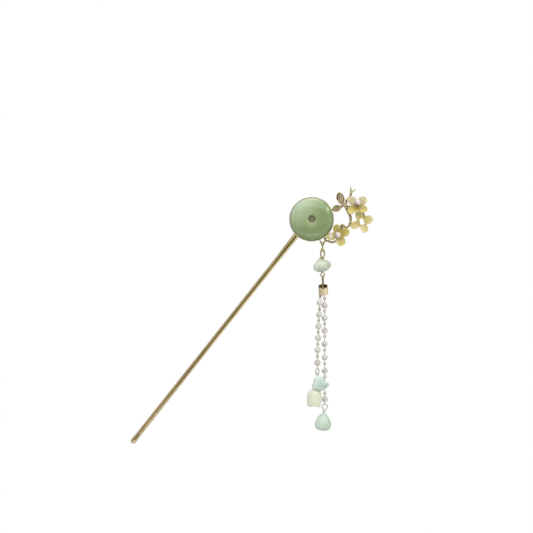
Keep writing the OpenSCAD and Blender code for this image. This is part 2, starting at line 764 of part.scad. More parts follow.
module drop_bead() {
    r = drop_d / 2;
    profile = [for (a = [-90:10:90])
        [r * pow(cos(a), a < 0 ? drop_foot_power : 1) * (1 - drop_egg * sin(a)), drop_length / 2 * sin(a)]];
    color("honeydew") on_head() difference() {
        translate(drop_at) rotate([-90, 0, 0]) rotate([0, drop_lean, 0]) rotate_extrude() polygon(profile);
        translate(eye_foot) rotate([90, 0, 0]) cylinder(h = eye_stem + 4 * gap, r = strand_r + bore_slack);
        translate(eye_foot) sphere(eye_foot_r + gap);
    }
}

metal_frame();
jade_disc();
leaf_stones();
flower_upper();
flower_side();
flower_lower();
pearl_upper();
pearl_lower();
bail_link();
oval_link();
bud_bead();
bud_pin();
cap_link();
tassel_cap();
left_links();
left_ring();
star_pin();
star_bead();
bell_pin();
bell_bead();
right_links();
drop_eye();
drop_bead();
for (i = [1:left_count])
    left_crystal(i);
for (i = [1:right_count])
    right_crystal(i);
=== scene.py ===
import math

import bmesh
import bpy
import numpy as np
from mathutils import Matrix, Vector, noise


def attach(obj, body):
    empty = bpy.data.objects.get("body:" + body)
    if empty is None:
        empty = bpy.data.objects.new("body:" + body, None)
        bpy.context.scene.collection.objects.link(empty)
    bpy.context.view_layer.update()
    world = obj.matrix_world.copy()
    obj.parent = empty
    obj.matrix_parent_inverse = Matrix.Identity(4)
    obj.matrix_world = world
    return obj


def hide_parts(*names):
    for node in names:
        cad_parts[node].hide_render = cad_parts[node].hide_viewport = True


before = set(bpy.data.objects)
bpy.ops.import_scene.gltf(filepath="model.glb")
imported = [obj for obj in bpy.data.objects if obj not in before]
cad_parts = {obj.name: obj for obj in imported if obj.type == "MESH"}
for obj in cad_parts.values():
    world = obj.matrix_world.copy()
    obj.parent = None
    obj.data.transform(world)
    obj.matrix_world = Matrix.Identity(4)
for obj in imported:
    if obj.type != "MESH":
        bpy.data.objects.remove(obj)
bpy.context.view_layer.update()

# All shapes are drawn in millimetres as seen from the front of the disc:
# x to the right, y up, z towards the viewer, from the disc's centre.
mm = 0.001
# The frame's origin is the grip on the stick's axis, which passes a little aside of that centre
grip = {"reach": 75.0, "lean": math.radians(38.4), "aside": 0.9}
headX = grip["reach"] * math.sin(grip["lean"]) + grip["aside"] * math.cos(grip["lean"])
headZ = grip["reach"] * math.cos(grip["lean"]) - grip["aside"] * math.sin(grip["lean"])


def toRow(points):
    p = np.asarray(points, float).reshape(-1, 3)
    return np.stack([headX + p[:, 0], -p[:, 2], headZ + p[:, 1]], 1) * mm


def rowPoint(x, y, z):
    return Vector(toRow([x, y, z])[0])


def headPoint(place):
    # millimetres in the head's frame for a place in the row's
    return np.array((place[0] / mm - headX, place[2] / mm - headZ, -place[1] / mm))


def degreeCos(a):
    return math.cos(math.radians(a))


def degreeSin(a):
    return math.sin(math.radians(a))


# Meshes: a shell is a pair of points and faces

# A wire's rounded end stands out by a share of its radius
wireEnd = {"stand": 0.8, "angles": (20, 45, 70)}
postShare = 0.85  # a pin's straight stretch is a little thinner than its loops


def ringSkin(rings, first=None, last=None, looped=False):
    # rings of equal count joined by quads; the ends close on a point, or on each other
    count = len(rings[0])
    points = [p for ring in rings for p in ring]
    faces = []
    levels = len(rings)
    for i in range(levels if looped else levels - 1):
        a, b = i * count, (i + 1) % levels * count
        for j in range(count):
            k = (j + 1) % count
            faces.append((a + j, a + k, b + k, b + j))
    if first is not None:
        points.append(first)
        tip = len(points) - 1
        faces += [(tip, (j + 1) % count, j) for j in range(count)]
    if last is not None:
        points.append(last)
        tip, a = len(points) - 1, (levels - 1) * count
        faces += [(tip, a + j, a + (j + 1) % count) for j in range(count)]
    return np.array(points, float), faces


def frameAlong(direction):
    # the same frame as the CAD's: its third axis runs along the direction
    d = np.asarray(direction, float)
    d = d / np.linalg.norm(d)
    tilt, turn = math.acos(max(-1, min(1, d[2]))), math.atan2(d[1], d[0])
    return np.array(Matrix.Rotation(turn, 3, "Z") @ Matrix.Rotation(tilt, 3, "Y"))


def moved(shell, rotation=None, offset=(0, 0, 0)):
    points = shell[0] if rotation is None else shell[0] @ np.asarray(rotation, float).T
    return points + np.asarray(offset, float), shell[1]


def turned(axis, degrees):
    return np.array(Matrix.Rotation(math.radians(degrees), 3, axis))


def arc(x, y, r, angles):
    # the points of a round stretch in a profile
    return [(x + r * degreeCos(a), y + r * degreeSin(a)) for a in angles]


def cutRing(r, h, sides, shift=0.0):
    # the corners of a cut stone at one height, turned by a share of a facet
    turns = [360 * (j + shift) / sides for j in range(sides)]
    return [(r * degreeCos(a), r * degreeSin(a), h) for a in turns]


def lathe(profile, sides=48, bored=False):
    # a profile of radius and height; without a bore it starts and ends at radius 0
    turns = [2 * math.pi * j / sides for j in range(sides)]

    def ring(r, h):
        return [(r * math.cos(t), r * math.sin(t), h) for t in turns]
    if bored:
        return ringSkin([ring(r, h) for r, h in profile], looped=True)
    return ringSkin([ring(r, h) for r, h in profile[1:-1]], (0, 0, profile[0][1]), (0, 0, profile[-1][1]))


def ball(r, rings=8, sides=16):
    return lathe([(0, -r)] + arc(0, 0, r, np.linspace(-80, 80, rings)) + [(0, r)], sides)


def tube(path, radii, sides=10, closed=False):
    # a round wire along a path, with rounded ends where it is open
    path = np.asarray(path, float)
    count = len(path)
    radii = np.broadcast_to(np.asarray(radii, float), (count,))
    tangents = np.roll(path, -1, 0) - np.roll(path, 1, 0) if closed else np.gradient(path, axis=0)
    tangents /= np.linalg.norm(tangents, axis=1)[:, None]
    side = np.cross(tangents[0], (0.31, 0.52, 0.79))  # no wire starts along this direction
    side /= np.linalg.norm(side)
    frames = []
    for t in tangents:
        side = side - t * np.dot(side, t)
        side /= np.linalg.norm(side)
        frames.append((side.copy(), np.cross(t, side)))
    twist = 0.0
    if closed:
        # spread the twist that is left over at the seam along the whole loop
        last = frames[-1][0] - tangents[0] * np.dot(frames[-1][0], tangents[0])
        twist = math.atan2(np.dot(last, frames[0][1]), np.dot(last, frames[0][0]))

    def ring(centre, pair, r, extra=0.0):
        turns = [2 * math.pi * j / sides + extra for j in range(sides)]
        return [centre + r * (math.cos(t) * pair[0] + math.sin(t) * pair[1]) for t in turns]

    def beyond(i, way, a):
        return path[i] + way * tangents[i] * radii[i] * degreeSin(a) * wireEnd["stand"]

    def endRing(i, way, a):
        return ring(beyond(i, way, a), frames[i], radii[i] * degreeCos(a))
    rings = [ring(path[i], frames[i], radii[i], -twist * i / count) for i in range(count)]
    if closed:
        return ringSkin(rings, looped=True)
    rings = [endRing(0, -1, a) for a in reversed(wireEnd["angles"])] + rings
    rings += [endRing(-1, 1, a) for a in wireEnd["angles"]]
    return ringSkin(rings, beyond(0, -1, 90), beyond(-1, 1, 90))


def circle(radius, count=40, start=0.0, sweep=360.0):
    # points of a ring in the plane of x and y
    steps = count if abs(sweep) >= 360 else count + 1
    angles = [start + sweep * i / count for i in range(steps)]
    return np.array([(radius * degreeCos(a), radius * degreeSin(a), 0) for a in angles])


def wireRing(radius, wireR, count=28, sides=10):
    return tube(circle(radius, count), wireR, sides, closed=True)


def curveThrough(rows, step=0.35):
    # a smooth path through rows of x, y, z and radius
    rows = np.asarray(rows, float)
    padded = np.vstack([2 * rows[0] - rows[1], rows, 2 * rows[-1] - rows[-2]])
    out = []
    for i in range(1, len(padded) - 2):
        a, b, c, d = padded[i - 1:i + 3]
        pieces = max(2, int(np.linalg.norm(c[:3] - b[:3]) / step))
        for k in range(pieces):
            t = k / pieces
            out.append(0.5 * (2 * b + (c - a) * t + (2 * a - 5 * b + 4 * c - d) * t ** 2
                              + (3 * b - a - 3 * c + d) * t ** 3))
    out.append(padded[-2])
    return np.array(out)


def joined(shells):
    points, faces, base = [], [], 0
    for p, f in shells:
        points.append(np.asarray(p, float))
        faces += [tuple(i + base for i in face) for face in f]
        base += len(p)
    return np.vstack(points), faces


def inScene(name, data):
    made = bpy.data.objects.new(name, data)
    bpy.context.scene.collection.objects.link(made)
    return made


def meshObject(name, shells):
    points, faces = joined(shells)
    mesh = bpy.data.meshes.new(name)
    mesh.from_pydata([tuple(p) for p in toRow(points)], [], faces)
    mesh.validate()
    body = bmesh.new()
    body.from_mesh(mesh)
    bmesh.ops.recalc_face_normals(body, faces=body.faces)
    body.to_mesh(mesh)
    body.free()
    return inScene(name, mesh)


def addPiece(name, shells, material, replaced=(), smooth=True, fuse=0.0, even=0):
    # fuse: voxel in mm that melts the shells into one skin; even: smoothing passes after it
    piece = meshObject(name, shells)
    if fuse:
        fused(piece, fuse, even)
    mesh = piece.data
    for polygon in mesh.polygons:
        polygon.use_smooth = smooth
    for one in material if isinstance(material, list) else [material]:
        mesh.materials.append(one)
    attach(piece, "root")
    if replaced:
        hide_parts(*replaced)
    print(f"{name}: {len(mesh.polygons)} faces")
    return piece


def fused(piece, voxel, even):
    # melts a piece into one skin with softened edges
    remesh = piece.modifiers.new("fuse", "REMESH")
    remesh.mode = "VOXEL"
    remesh.voxel_size = voxel * mm
    soften = piece.modifiers.new("even", "SMOOTH")
    soften.factor = 0.5
    soften.iterations = even
    applyModifiers(piece)


def applyModifiers(piece):
    # a remeshed skin loses its materials and its smooth shading, so both are put back
    materials = list(piece.data.materials)
    smooth = piece.data.polygons[0].use_smooth
    bpy.context.view_layer.update()
    evaluated = piece.evaluated_get(bpy.context.evaluated_depsgraph_get())
    mesh = bpy.data.meshes.new_from_object(evaluated)
    piece.modifiers.clear()
    piece.data = mesh
    if not mesh.materials:
        for one in materials:
            mesh.materials.append(one)
    for polygon in mesh.polygons:
        polygon.use_smooth = smooth


cutReach = 6  # how far from a bead's middle its cutter starts


def rod(start, end, r, sides=20):
    # a plain cutter between two points
    start, end = np.array(start, float), np.array(end, float)
    long = np.linalg.norm(end - start)
    return moved(lathe([(0, 0), (r, 0), (r, long), (0, long)], sides), frameAlong(end - start), start)


def cutWith(piece, shell):
    # bores a piece with a helper mesh that is then thrown away
    cutter = meshObject("cutter", [shell])
    cut = piece.modifiers.new("bore", "BOOLEAN")
    cut.operation = "DIFFERENCE"
    cut.solver = "EXACT"
    cut.object = cutter
    applyModifiers(piece)
    bpy.data.objects.remove(cutter)


# Materials

class Nodes:
    # a short hand for building one node tree
    def __init__(self, tree, place):
        self.tree = tree
        self.place = self.add("ShaderNodeTexCoord").outputs[place]

    def add(self, kind, **settings):
        made = self.tree.nodes.new(kind)
        for key, value in settings.items():
            setattr(made, key, value)
        return made

    def link(self, output, target):
        self.tree.links.new(output, target)

    def vector(self, operation, value, fixed=(0, 0, 0), result="Vector"):
        node = self.add("ShaderNodeVectorMath", operation=operation)
        self.link(value, node.inputs[0])
        node.inputs[1].default_value = tuple(fixed)
        return node.outputs[result]

    def fitted(self, value, low, high, fromLow=0.0, fromHigh=1.0):
        node = self.add("ShaderNodeMapRange")
        self.link(value, node.inputs["Value"])
        for key, bound in (("From Min", fromLow), ("From Max", fromHigh), ("To Min", low), ("To Max", high)):
            node.inputs[key].default_value = bound
        return node.outputs["Result"]

    def ramp(self, value, stops):
        node = self.add("ShaderNodeValToRGB")
        self.link(value, node.inputs["Fac"])
        band = node.color_ramp
        while len(band.elements) < len(stops):
            band.elements.new(0.5)
        for element, (place, colour) in zip(band.elements, stops):
            element.position = place
            element.color = (*colour, 1.0)
        return node.outputs["Color"]

    def blended(self, share, a, b=None):
        # from the first colour to the second, which is white where none is given
        node = self.add("ShaderNodeMix", data_type="RGBA")
        self.link(share, node.inputs["Factor"])
        self.link(a, node.inputs[6])
        if b is None:
            node.inputs[7].default_value = (1, 1, 1, 1)
        else:
            self.link(b, node.inputs[7])
        return node.outputs[2]


class Finish(Nodes):
    # one material and its shader
    def __init__(self, name):
        self.material = bpy.data.materials.new(name)
        self.material.use_nodes = True
        super().__init__(self.material.node_tree, "Object")
        self.shader = self.tree.nodes["Principled BSDF"]
        self.base = self.shader.inputs["Base Color"]

    def put(self, **values):
        for key, value in values.items():
            self.shader.inputs[key.replace("_", " ")].default_value = value

    def milky(self, weight, radius, depth):
        # light that goes in and comes out again; depth in mm
        self.put(Subsurface_Weight=weight, Subsurface_Radius=radius, Subsurface_Scale=depth * mm)

    def noiseField(self, scale, detail=3.0, rough=0.55, turn=(0, 0, 0), stretch=None):
        place = self.place
        if stretch is not None:
            mapping = self.add("ShaderNodeMapping")
            self.link(place, mapping.inputs["Vector"])
            mapping.inputs["Rotation"].default_value = turn
            mapping.inputs["Scale"].default_value = stretch
            place = mapping.outputs["Vector"]
        field = self.add("ShaderNodeTexNoise")
        for key, value in (("Scale", scale), ("Detail", detail), ("Roughness", rough)):
            field.inputs[key].default_value = value
        self.link(place, field.inputs["Vector"])
        return field.outputs["Fac"]

    def reach(self, centre, low, high, flat=False):
        # 0 to 1 with the distance from a point, or with flat from a line along Y through it; lengths in mm
        away = self.vector("SUBTRACT", self.place, centre)
        away = self.vector("MULTIPLY", away, (1.0, 0.0 if flat else 1.0, 1.0))
        return self.fitted(self.vector("LENGTH", away, result="Value"), 0.0, 1.0, low * mm, high * mm)

    def slope(self, centre, direction, length):
        # 0 to 1 along a direction in row space, 0.5 at the centre; length in mm
        away = self.vector("SUBTRACT", self.place, centre)
        along = self.vector("DOT_PRODUCT", away, Vector(direction).normalized(), "Value")
        return self.fitted(along, 0.0, 1.0, -length * mm / 2, length * mm / 2)

    def varied(self, shade, field, swing, low=0.3, high=0.7):
        # a shade that a noise pushes up and down
        node = self.add("ShaderNodeMath", operation="ADD")
        self.link(shade, node.inputs[0])
        self.link(self.fitted(field, -swing, swing, low, high), node.inputs[1])
        return node.outputs["Value"]

    def paint(self, value, stops):
        self.link(self.ramp(value, stops), self.base)

    def worn(self, low, high):
        # metal whose fine wear makes it rougher in places
        self.put(Metallic=1.0)
        self.link(self.fitted(self.noiseField(1500, 4), low, high, 0.3, 0.7), self.shader.inputs["Roughness"])

    def bump(self, height, distance):
        node = self.add("ShaderNodeBump")
        node.inputs["Distance"].default_value = distance * mm
        node.inputs["Strength"].default_value = 1.0
        self.link(height, node.inputs["Height"])
        self.link(node.outputs["Normal"], self.shader.inputs["Normal"])


def goldFinish(name, dark, light, roughness, grain, deepness):
    finish = Finish(name)
    finish.paint(finish.noiseField(450), [(0.3, dark), (0.7, light)])
    finish.worn(*roughness)
    finish.bump(finish.noiseField(grain), deepness)
    return finish.material


def jadeFinish():
    # painted light and shade: minty and pale towards the upper left where the light falls, deeper and warmer
    # towards the lower right, with soft clouds
    finish = Finish("jade")
    shade = finish.slope(rowPoint(0, 0, 4), (1.0, 0.0, -0.95), 25)
    shade = finish.varied(shade, finish.noiseField(110, 4, 0.6), 0.16)
    vein = finish.noiseField(330, 5, 0.65, turn=(0.0, 0.5, 0.0), stretch=(1.0, 1.0, 2.2))
    finish.paint(finish.varied(shade, vein, 0.07), [(0.0, (0.51, 0.60, 0.46)), (0.28, (0.41, 0.52, 0.29)),
                                                    (0.62, (0.265, 0.36, 0.16)), (1.0, (0.26, 0.35, 0.15))])
    finish.milky(0.3, (0.9, 1.0, 0.7), 1.8)
    finish.put(Roughness=0.3, Specular_IOR_Level=0.15, Coat_Weight=0.8, Coat_Roughness=0.02, IOR=1.5)
    finish.bump(finish.noiseField(200, 2), 0.004)
    return finish.material


def petalFinish(name, centre, low, high, clear=None):
    # warm at the root, cloudy in the middle and pale at the edge, with painted light and shade in other tones
    # low and high on the blossom; clear: place and radius of a painted highlight, a near-white glare spot
    finish = Finish(name)
    patch = finish.noiseField(230, 3, 0.5)
    shade = finish.varied(finish.reach(rowPoint(*centre), 1.2, 6.4), patch, 0.22)
    tones = [finish.ramp(shade, list(zip((0.08, 0.4, 0.72, 0.97), row))) for row in (low, high)]
    # painted light and shade: the upper part of the blossom gets other tones than the lower part
    colour = finish.blended(finish.slope(rowPoint(*centre), (0.0, 0.0, 1.0), 5), *tones)
    # painted highlight: a near-white glare spot blended over the petal's colour
    if clear:
        *place, r = clear
        white = finish.ramp(patch, [(0.3, (0.90, 0.90, 0.80)), (0.7, (0.97, 0.97, 0.93))])
        colour = finish.blended(finish.reach(rowPoint(*place), r * 0.5, r, flat=True), white, colour)
    finish.link(colour, finish.base)
    finish.milky(0.25, (1.0, 0.8, 0.35), 1.0)
    finish.put(Roughness=0.22, Transmission_Weight=0.1, Coat_Weight=0.6, Coat_Roughness=0.06, IOR=1.5)
    finish.bump(finish.noiseField(900, 3, 0.5), 0.02)
    return finish.material


def frostedFinish(name, pale, deep, centre, size):
    # painted light and shade: paler towards the upper left where the light falls, deeper towards the lower
    # right, with soft clouds
    finish = Finish(name)
    side = finish.slope(rowPoint(*centre), (-0.9, 0.0, 0.35), size)
    finish.paint(finish.varied(side, finish.noiseField(210, 3, 0.5), 0.2), [(0.15, deep), (0.85, pale)])
    finish.milky(0.45, (1.0, 1.1, 1.0), 2.0)
    finish.put(Roughness=0.38, Transmission_Weight=0.12, IOR=1.45, Coat_Weight=0.15, Coat_Roughness=0.25)
    finish.bump(finish.noiseField(1000, 3, 0.5), 0.006)
    return finish.material


def pearlFinish(name, centre):
    # painted light and shade: creamy towards the upper right, darker lilac grey towards the lower left
    finish = Finish(name)
    side = finish.slope(centre, (0.75, -0.25, 0.6), 3.2)
    finish.paint(finish.varied(side, finish.noiseField(380, 2, 0.5), 0.12, 0.35, 0.65),
                 [(0.05, (0.34, 0.29, 0.34)), (0.4, (0.60, 0.51, 0.51)), (0.8, (0.84, 0.76, 0.69))])
    finish.milky(0.2, (1.0, 0.8, 0.8), 0.8)
    finish.put(Roughness=0.22, Coat_Weight=0.8, Coat_Roughness=0.06, IOR=1.55, Sheen_Weight=0.1)
    finish.bump(finish.noiseField(2600, 2), 0.004)
    return finish.material


def crystalFinish(name, pale, deep, clear):
    finish = Finish(name)
    finish.paint(finish.noiseField(420, 2, 0.5), [(0.4, deep), (0.62, pale)])
    finish.put(Roughness=0.05, Transmission_Weight=clear, IOR=1.52, Coat_Weight=0.4, Coat_Roughness=0.03)
    finish.bump(finish.noiseField(1500, 2), 0.003)
    return finish.material


def stickFinish():
    # olive by the head, peachy by the tip
    finish = Finish("stickGold")
    tone = finish.noiseField(160)
    along = finish.slope(rowPoint(-44, -56, 0), (0.62, 0.0, 0.78), 150)
    tip = finish.ramp(tone, [(0.25, (0.68, 0.50, 0.25)), (0.75, (0.84, 0.66, 0.37))])
    head = finish.ramp(tone, [(0.25, (0.58, 0.47, 0.17)), (0.75, (0.80, 0.67, 0.33))])
    finish.link(finish.blended(along, tip, head), finish.base)
    finish.worn(0.07, 0.13)
    finish.bump(finish.noiseField(500, 2), 0.001)
    return finish.material


def capFinish():
    # painted reflections and shade: soft upright bright and dark streaks between a lit and a shaded side
    finish = Finish("capGold")
    across = finish.slope(rowPoint(5.83, -35.25, 1.75), (1.0, 0.0, 0.07), 5.2)
    finish.paint(finish.varied(across, finish.noiseField(700, 2), 0.03),
                 [(0.02, (0.92, 0.84, 0.62)), (0.16, (0.62, 0.51, 0.31)), (0.28, (0.92, 0.80, 0.56)),
                  (0.5, (0.90, 0.77, 0.53)), (0.6, (0.64, 0.51, 0.32)), (0.7, (0.92, 0.78, 0.53)),
                  (0.86, (0.70, 0.56, 0.34)), (1.0, (0.46, 0.36, 0.22))])
    finish.worn(0.24, 0.36)
    finish.bump(finish.noiseField(900), 0.006)
    return finish.material


def glueFinish():
    finish = Finish("glue")
    finish.paint(finish.noiseField(900), [(0.3, (0.62, 0.48, 0.34)), (0.7, (0.78, 0.64, 0.48))])
    finish.put(Roughness=0.4, Coat_Weight=0.3)
    finish.bump(finish.noiseField(700, 2), 0.03)
    return finish.material


# Dark and light tone, lowest and highest roughness, grain and its depth in mm
golds = {
    "gold": ((0.58, 0.49, 0.28), (0.76, 0.65, 0.43), (0.16, 0.28), 900, 0.01),
    "rimGold": ((0.86, 0.78, 0.58), (0.94, 0.90, 0.74), (0.4, 0.5), 900, 0.01),
    "twigGold": ((0.40, 0.31, 0.14), (0.64, 0.53, 0.28), (0.26, 0.42), 1600, 0.05),
    "linkGold": ((0.60, 0.55, 0.19), (0.84, 0.79, 0.34), (0.2, 0.3), 1200, 0.01),
    "wireGold": ((0.54, 0.51, 0.39), (0.72, 0.68, 0.54), (0.24, 0.36), 1200, 0.01),
    # painted shade: near-black brown for the inside of the cap's wells
    "paintedWellShade": ((0.11, 0.08, 0.035), (0.22, 0.17, 0.09), (0.45, 0.6), 900, 0.02),
}
# Pale and deep tone of the painted light and shade, the bead's middle and its size in mm
frosted = {
    "budGlass": ((0.82, 0.91, 0.76), (0.55, 0.64, 0.47), (5.1, -23.4, 2.5), 9),
    "starGlass": ((0.80, 0.90, 0.84), (0.58, 0.75, 0.66), (4.3, -81.9, 3.2), 9),
    "bellGlass": ((0.96, 0.98, 0.80), (0.88, 0.91, 0.66), (1.6, -89.0, 0.9), 9),
    "dropGlass": ((0.84, 0.95, 0.88), (0.62, 0.78, 0.62), (5.9, -101.2, -1.0), 8),
}
gold, rimGold, twigGold, linkGold, wireGold, paintedWellShade = (
    goldFinish(name, *row) for name, row in golds.items())
budGlass, starGlass, bellGlass, dropGlass = (
    frostedFinish(name, *row) for name, row in frosted.items())
stickGold, capGold, glue, jade = stickFinish(), capFinish(), glueFinish(), jadeFinish()
leafGlass = crystalFinish("leafGlass", (0.88, 0.81, 0.60), (0.54, 0.46, 0.28), 0.1)
crystal = crystalFinish("crystal", (0.98, 0.96, 0.92), (0.84, 0.79, 0.72), 0.3)


# The stick and the cup

# tailEnd: radius and height of the soldered end's rounding; taper: where the stick thins towards its shaft
stick = {"tail": 7.0, "reach": 143.47, "rootR": 1.5, "shaftR": 1.2, "tipR": 1.38, "taper": (9.65, 27.0),
         "tailEnd": [(0, 0), (0.5, 0), (1.05, 0.2), (1.4, 0.65), (1.5, 1.2)], "tailLength": 1.6,
         "tipLength": 7.0, "sides": 40, "levels": 150}


def stickRadius(s):
    if s < stick["taper"][0]:
        return stick["rootR"]
    if s < stick["taper"][1]:
        share = (s - stick["taper"][0]) / (stick["taper"][1] - stick["taper"][0])
        return stick["rootR"] + (stick["shaftR"] - stick["rootR"]) * share
    swell = stick["reach"] - stick["tipLength"]
    if s < swell:
        return stick["shaftR"]
    share = min(1.0, (s - swell) / (stick["tipLength"] - 2 * stick["tipR"]))
    return stick["shaftR"] + (stick["tipR"] - stick["shaftR"]) * share ** 1.5


def makeStick():
    tail, reach, tipR = stick["tail"], stick["reach"], stick["tipR"]
    along = np.linspace(stick["tailLength"] - tail, reach - tipR, stick["levels"])
    profile = [(r, h - tail) for r, h in stick["tailEnd"]] + [(stickRadius(s), s) for s in along]
    profile += arc(0, reach - tipR, tipR, range(9, 90, 9)) + [(0, reach)]
    lean, aside = grip["lean"], grip["aside"]
    down = (-math.sin(lean), -math.cos(lean), 0)
    offset = (-aside * math.cos(lean), aside * math.sin(lean), 0)
    shell = moved(lathe(profile, stick["sides"]), frameAlong(down), offset)
    addPiece("stickShaft", [shell], stickGold, ["metal_frame"])


# back, floor and rimTop are heights; the edges are steps in radius and height from the corner that they ease;
# rimDepth: how far below its top the rim's straight sides start, outside and inside
cup = {"r": 11.15, "wall": 0.45, "back": 0.9, "floor": 1.8, "rimTop": 3.6, "sides": 120, "rimShare": 0.95,
       "rimDepth": (0.5, 0.9), "backRings": (0, 4, 8), "floorRings": (7, 3.4, 2.2, 1.2, 0),
       "backEdge": [(-0.5, 0), (-0.2, 0.04), (-0.05, 0.14), (0, 0.35), (0, 1.2)],
       "floorEdge": [(0, 0.15), (-0.12, 0)],
       "glueGap": 0.02, "glueTop": 3.7, "glueR": 1.6, "glueEdge": [(0, -0.1), (-0.12, -0.02)],
       "glueFlat": 0.6, "glueDome": 0.06}


def makeCup():
    r, inner, edge = cup["r"], cup["r"] - cup["wall"], cup["wall"] / 2
    back, floor, top = cup["back"], cup["floor"], cup["rimTop"]
    profile = [(x, back) for x in cup["backRings"]] + [(r + x, back + h) for x, h in cup["backEdge"]]
    outside, inside = (top - depth for depth in cup["rimDepth"])
    profile += [(r, outside), (r, top - edge)] + arc(r - edge, top - edge, edge, range(20, 180, 20))
    profile += [(inner, top - edge), (inner, inside)]
    profile += [(inner + x, floor + h) for x, h in cup["floorEdge"]] + [(x, floor) for x in cup["floorRings"]]
    piece = addPiece("cup", [lathe(profile, cup["sides"])], [gold, rimGold])
    for polygon in piece.data.polygons:
        # the rim is paler and softer than the back
        x, y, _ = headPoint(polygon.center)
        if math.hypot(x, y) > r * cup["rimShare"]:
            polygon.material_index = 1
    # glue that wells up in the disc's hole
    low, top, r = floor + cup["glueGap"], cup["glueTop"], cup["glueR"]
    plug = [(0, low), (r, low)] + [(r + x, top + h) for x, h in cup["glueEdge"]]
    plug += [(r * cup["glueFlat"], top), (0, top + cup["glueDome"])]
    addPiece("holeGlue", [lathe(plug)], glue)


# crest: radius where the dome is highest; join: degrees round the shoulder where the dome meets it;
# holeFoot and foot: steps from the lower corners of the hole and the side; holeSteps: shares of its height
disc = {"r": 10.6, "h": 5.2, "base": 1.85, "hole": 1.65, "lip": 1.3, "shoulder": 2.9, "crest": 5.0,
        "fall": 0.05, "join": 75, "holeFoot": [(0.06, 0.0), (0, 0.08)], "holeSteps": (0.35, 0.7),
        "foot": [(0, 0.25), (-0.08, 0.07), (-0.3, 0.0)], "levels": 26, "sides": 160}


def domeHeight(r):
    return disc["h"] - disc["fall"] * (r - disc["crest"]) ** 2


def makeDisc():
    r, hole, lip, shoulder, join = (disc[key] for key in ("r", "hole", "lip", "shoulder", "join"))
    lipR, shoulderX = hole + lip, r - shoulder
    lipH = domeHeight(lipR) - lip
    shoulderH = domeHeight(shoulderX + shoulder * degreeCos(join)) - shoulder * degreeSin(join)
    dome = np.linspace(lipR, shoulderX + shoulder * degreeCos(join + 3), disc["levels"])
    profile = [(hole + x, h) for x, h in disc["holeFoot"]] + [(hole, lipH * s) for s in disc["holeSteps"]]
    profile += arc(lipR, lipH, lip, range(180, 90, -9)) + [(x, domeHeight(x)) for x in dome]
    profile += arc(shoulderX, shoulderH, shoulder, range(join, -1, -5)) + [(r, shoulderH * 0.5)]
    profile += [(r + x, h) for x, h in disc["foot"]]
    shell = moved(lathe(profile, disc["sides"], bored=True), None, (0, 0, disc["base"]))
    addPiece("jadeDisc", [shell], jade, ["jade_disc"])


# The twig, its leaves and the bail

# Each branch is a route of x, y, z and radius; knots are balls
twig = {
    "main": [(6.5, -9.2, 2.3, 0.55), (7.0, -10.7, 2.2, 0.56), (8.5, -11.0, 1.9, 0.55),
             (10.1, -11.6, 1.8, 0.55), (12.4, -10.7, 1.6, 0.56), (14.0, -7.7, 1.5, 0.58),
             (15.1, -5.2, 1.6, 0.58), (15.2, -3.0, 2.0, 0.6), (17.0, -4.0, 2.4, 0.6), (18.4, -3.6, 2.5, 0.6),
             (19.3, -1.8, 2.4, 0.62), (19.4, 1.0, 2.2, 0.66), (18.5, 3.2, 2.0, 0.7), (17.4, 5.6, 1.8, 0.78),
             (17.0, 7.4, 1.4, 0.68), (17.6, 9.5, 0.9, 0.58), (19.3, 11.3, 0.6, 0.58), (19.8, 13.1, 0.6, 0.5)],
    "leftProng": [(19.65, 12.7, 0.6, 0.46), (19.75, 14.4, 0.6, 0.4), (19.5, 16.1, 0.7, 0.24)],
    "rightProng": [(19.7, 12.9, 0.6, 0.44), (20.8, 14.0, 0.6, 0.36), (21.9, 14.85, 0.6, 0.24)],
    "side": [(17.3, 6.0, 1.8, 0.5), (20.0, 6.3, 1.5, 0.48), (22.8, 5.5, 1.6, 0.5), (24.9, 4.5, 1.5, 0.48),
             (26.2, 2.2, 1.5, 0.48), (26.0, 0.3, 1.4, 0.5)],
    "leafStalk": [(17.2, 6.4, 1.9, 0.5), (16.4, 6.6, 2.1, 0.5), (15.6, 6.6, 2.2, 0.5)],
    "knots": [(17.2, 6.3, 1.75, 1.0), (19.3, -2.0, 2.35, 0.82), (15.15, -3.1, 2.0, 0.8),
              (19.7, 13.0, 0.65, 0.6), (17.5, 9.4, 0.95, 0.7), (14.0, -7.7, 1.5, 0.72),
              (18.4, 3.3, 2.0, 0.84)],
    "girth": 0.12, "bark": 0.09, "voxel": 0.13, "even": 2,
}


def roughened(rows, seed):
    # bark: uneven girth with small rings
    out = curveThrough(rows, 0.3)
    for i, row in enumerate(out):
        wave = noise.noise(Vector((row[0] * 0.9, row[1] * 0.9, seed)))
        ring = noise.noise(Vector((i * 0.55, seed * 3.1, 0.5)))
        row[3] *= 1 + twig["girth"] * wave + twig["bark"] * ring
    return out


def makeTwig():
    shells = []
    for seed, key in enumerate(("main", "leftProng", "rightProng", "side", "leafStalk")):
        rows = roughened(twig[key], seed + 1.7)
        shells.append(tube(rows[:, :3], rows[:, 3], 12))
    for x, y, z, r in twig["knots"]:
        shells.append(moved(ball(r), None, (x, y, z)))
    addPiece("twigWork", shells, twigGold, fuse=twig["voxel"], even=twig["even"])


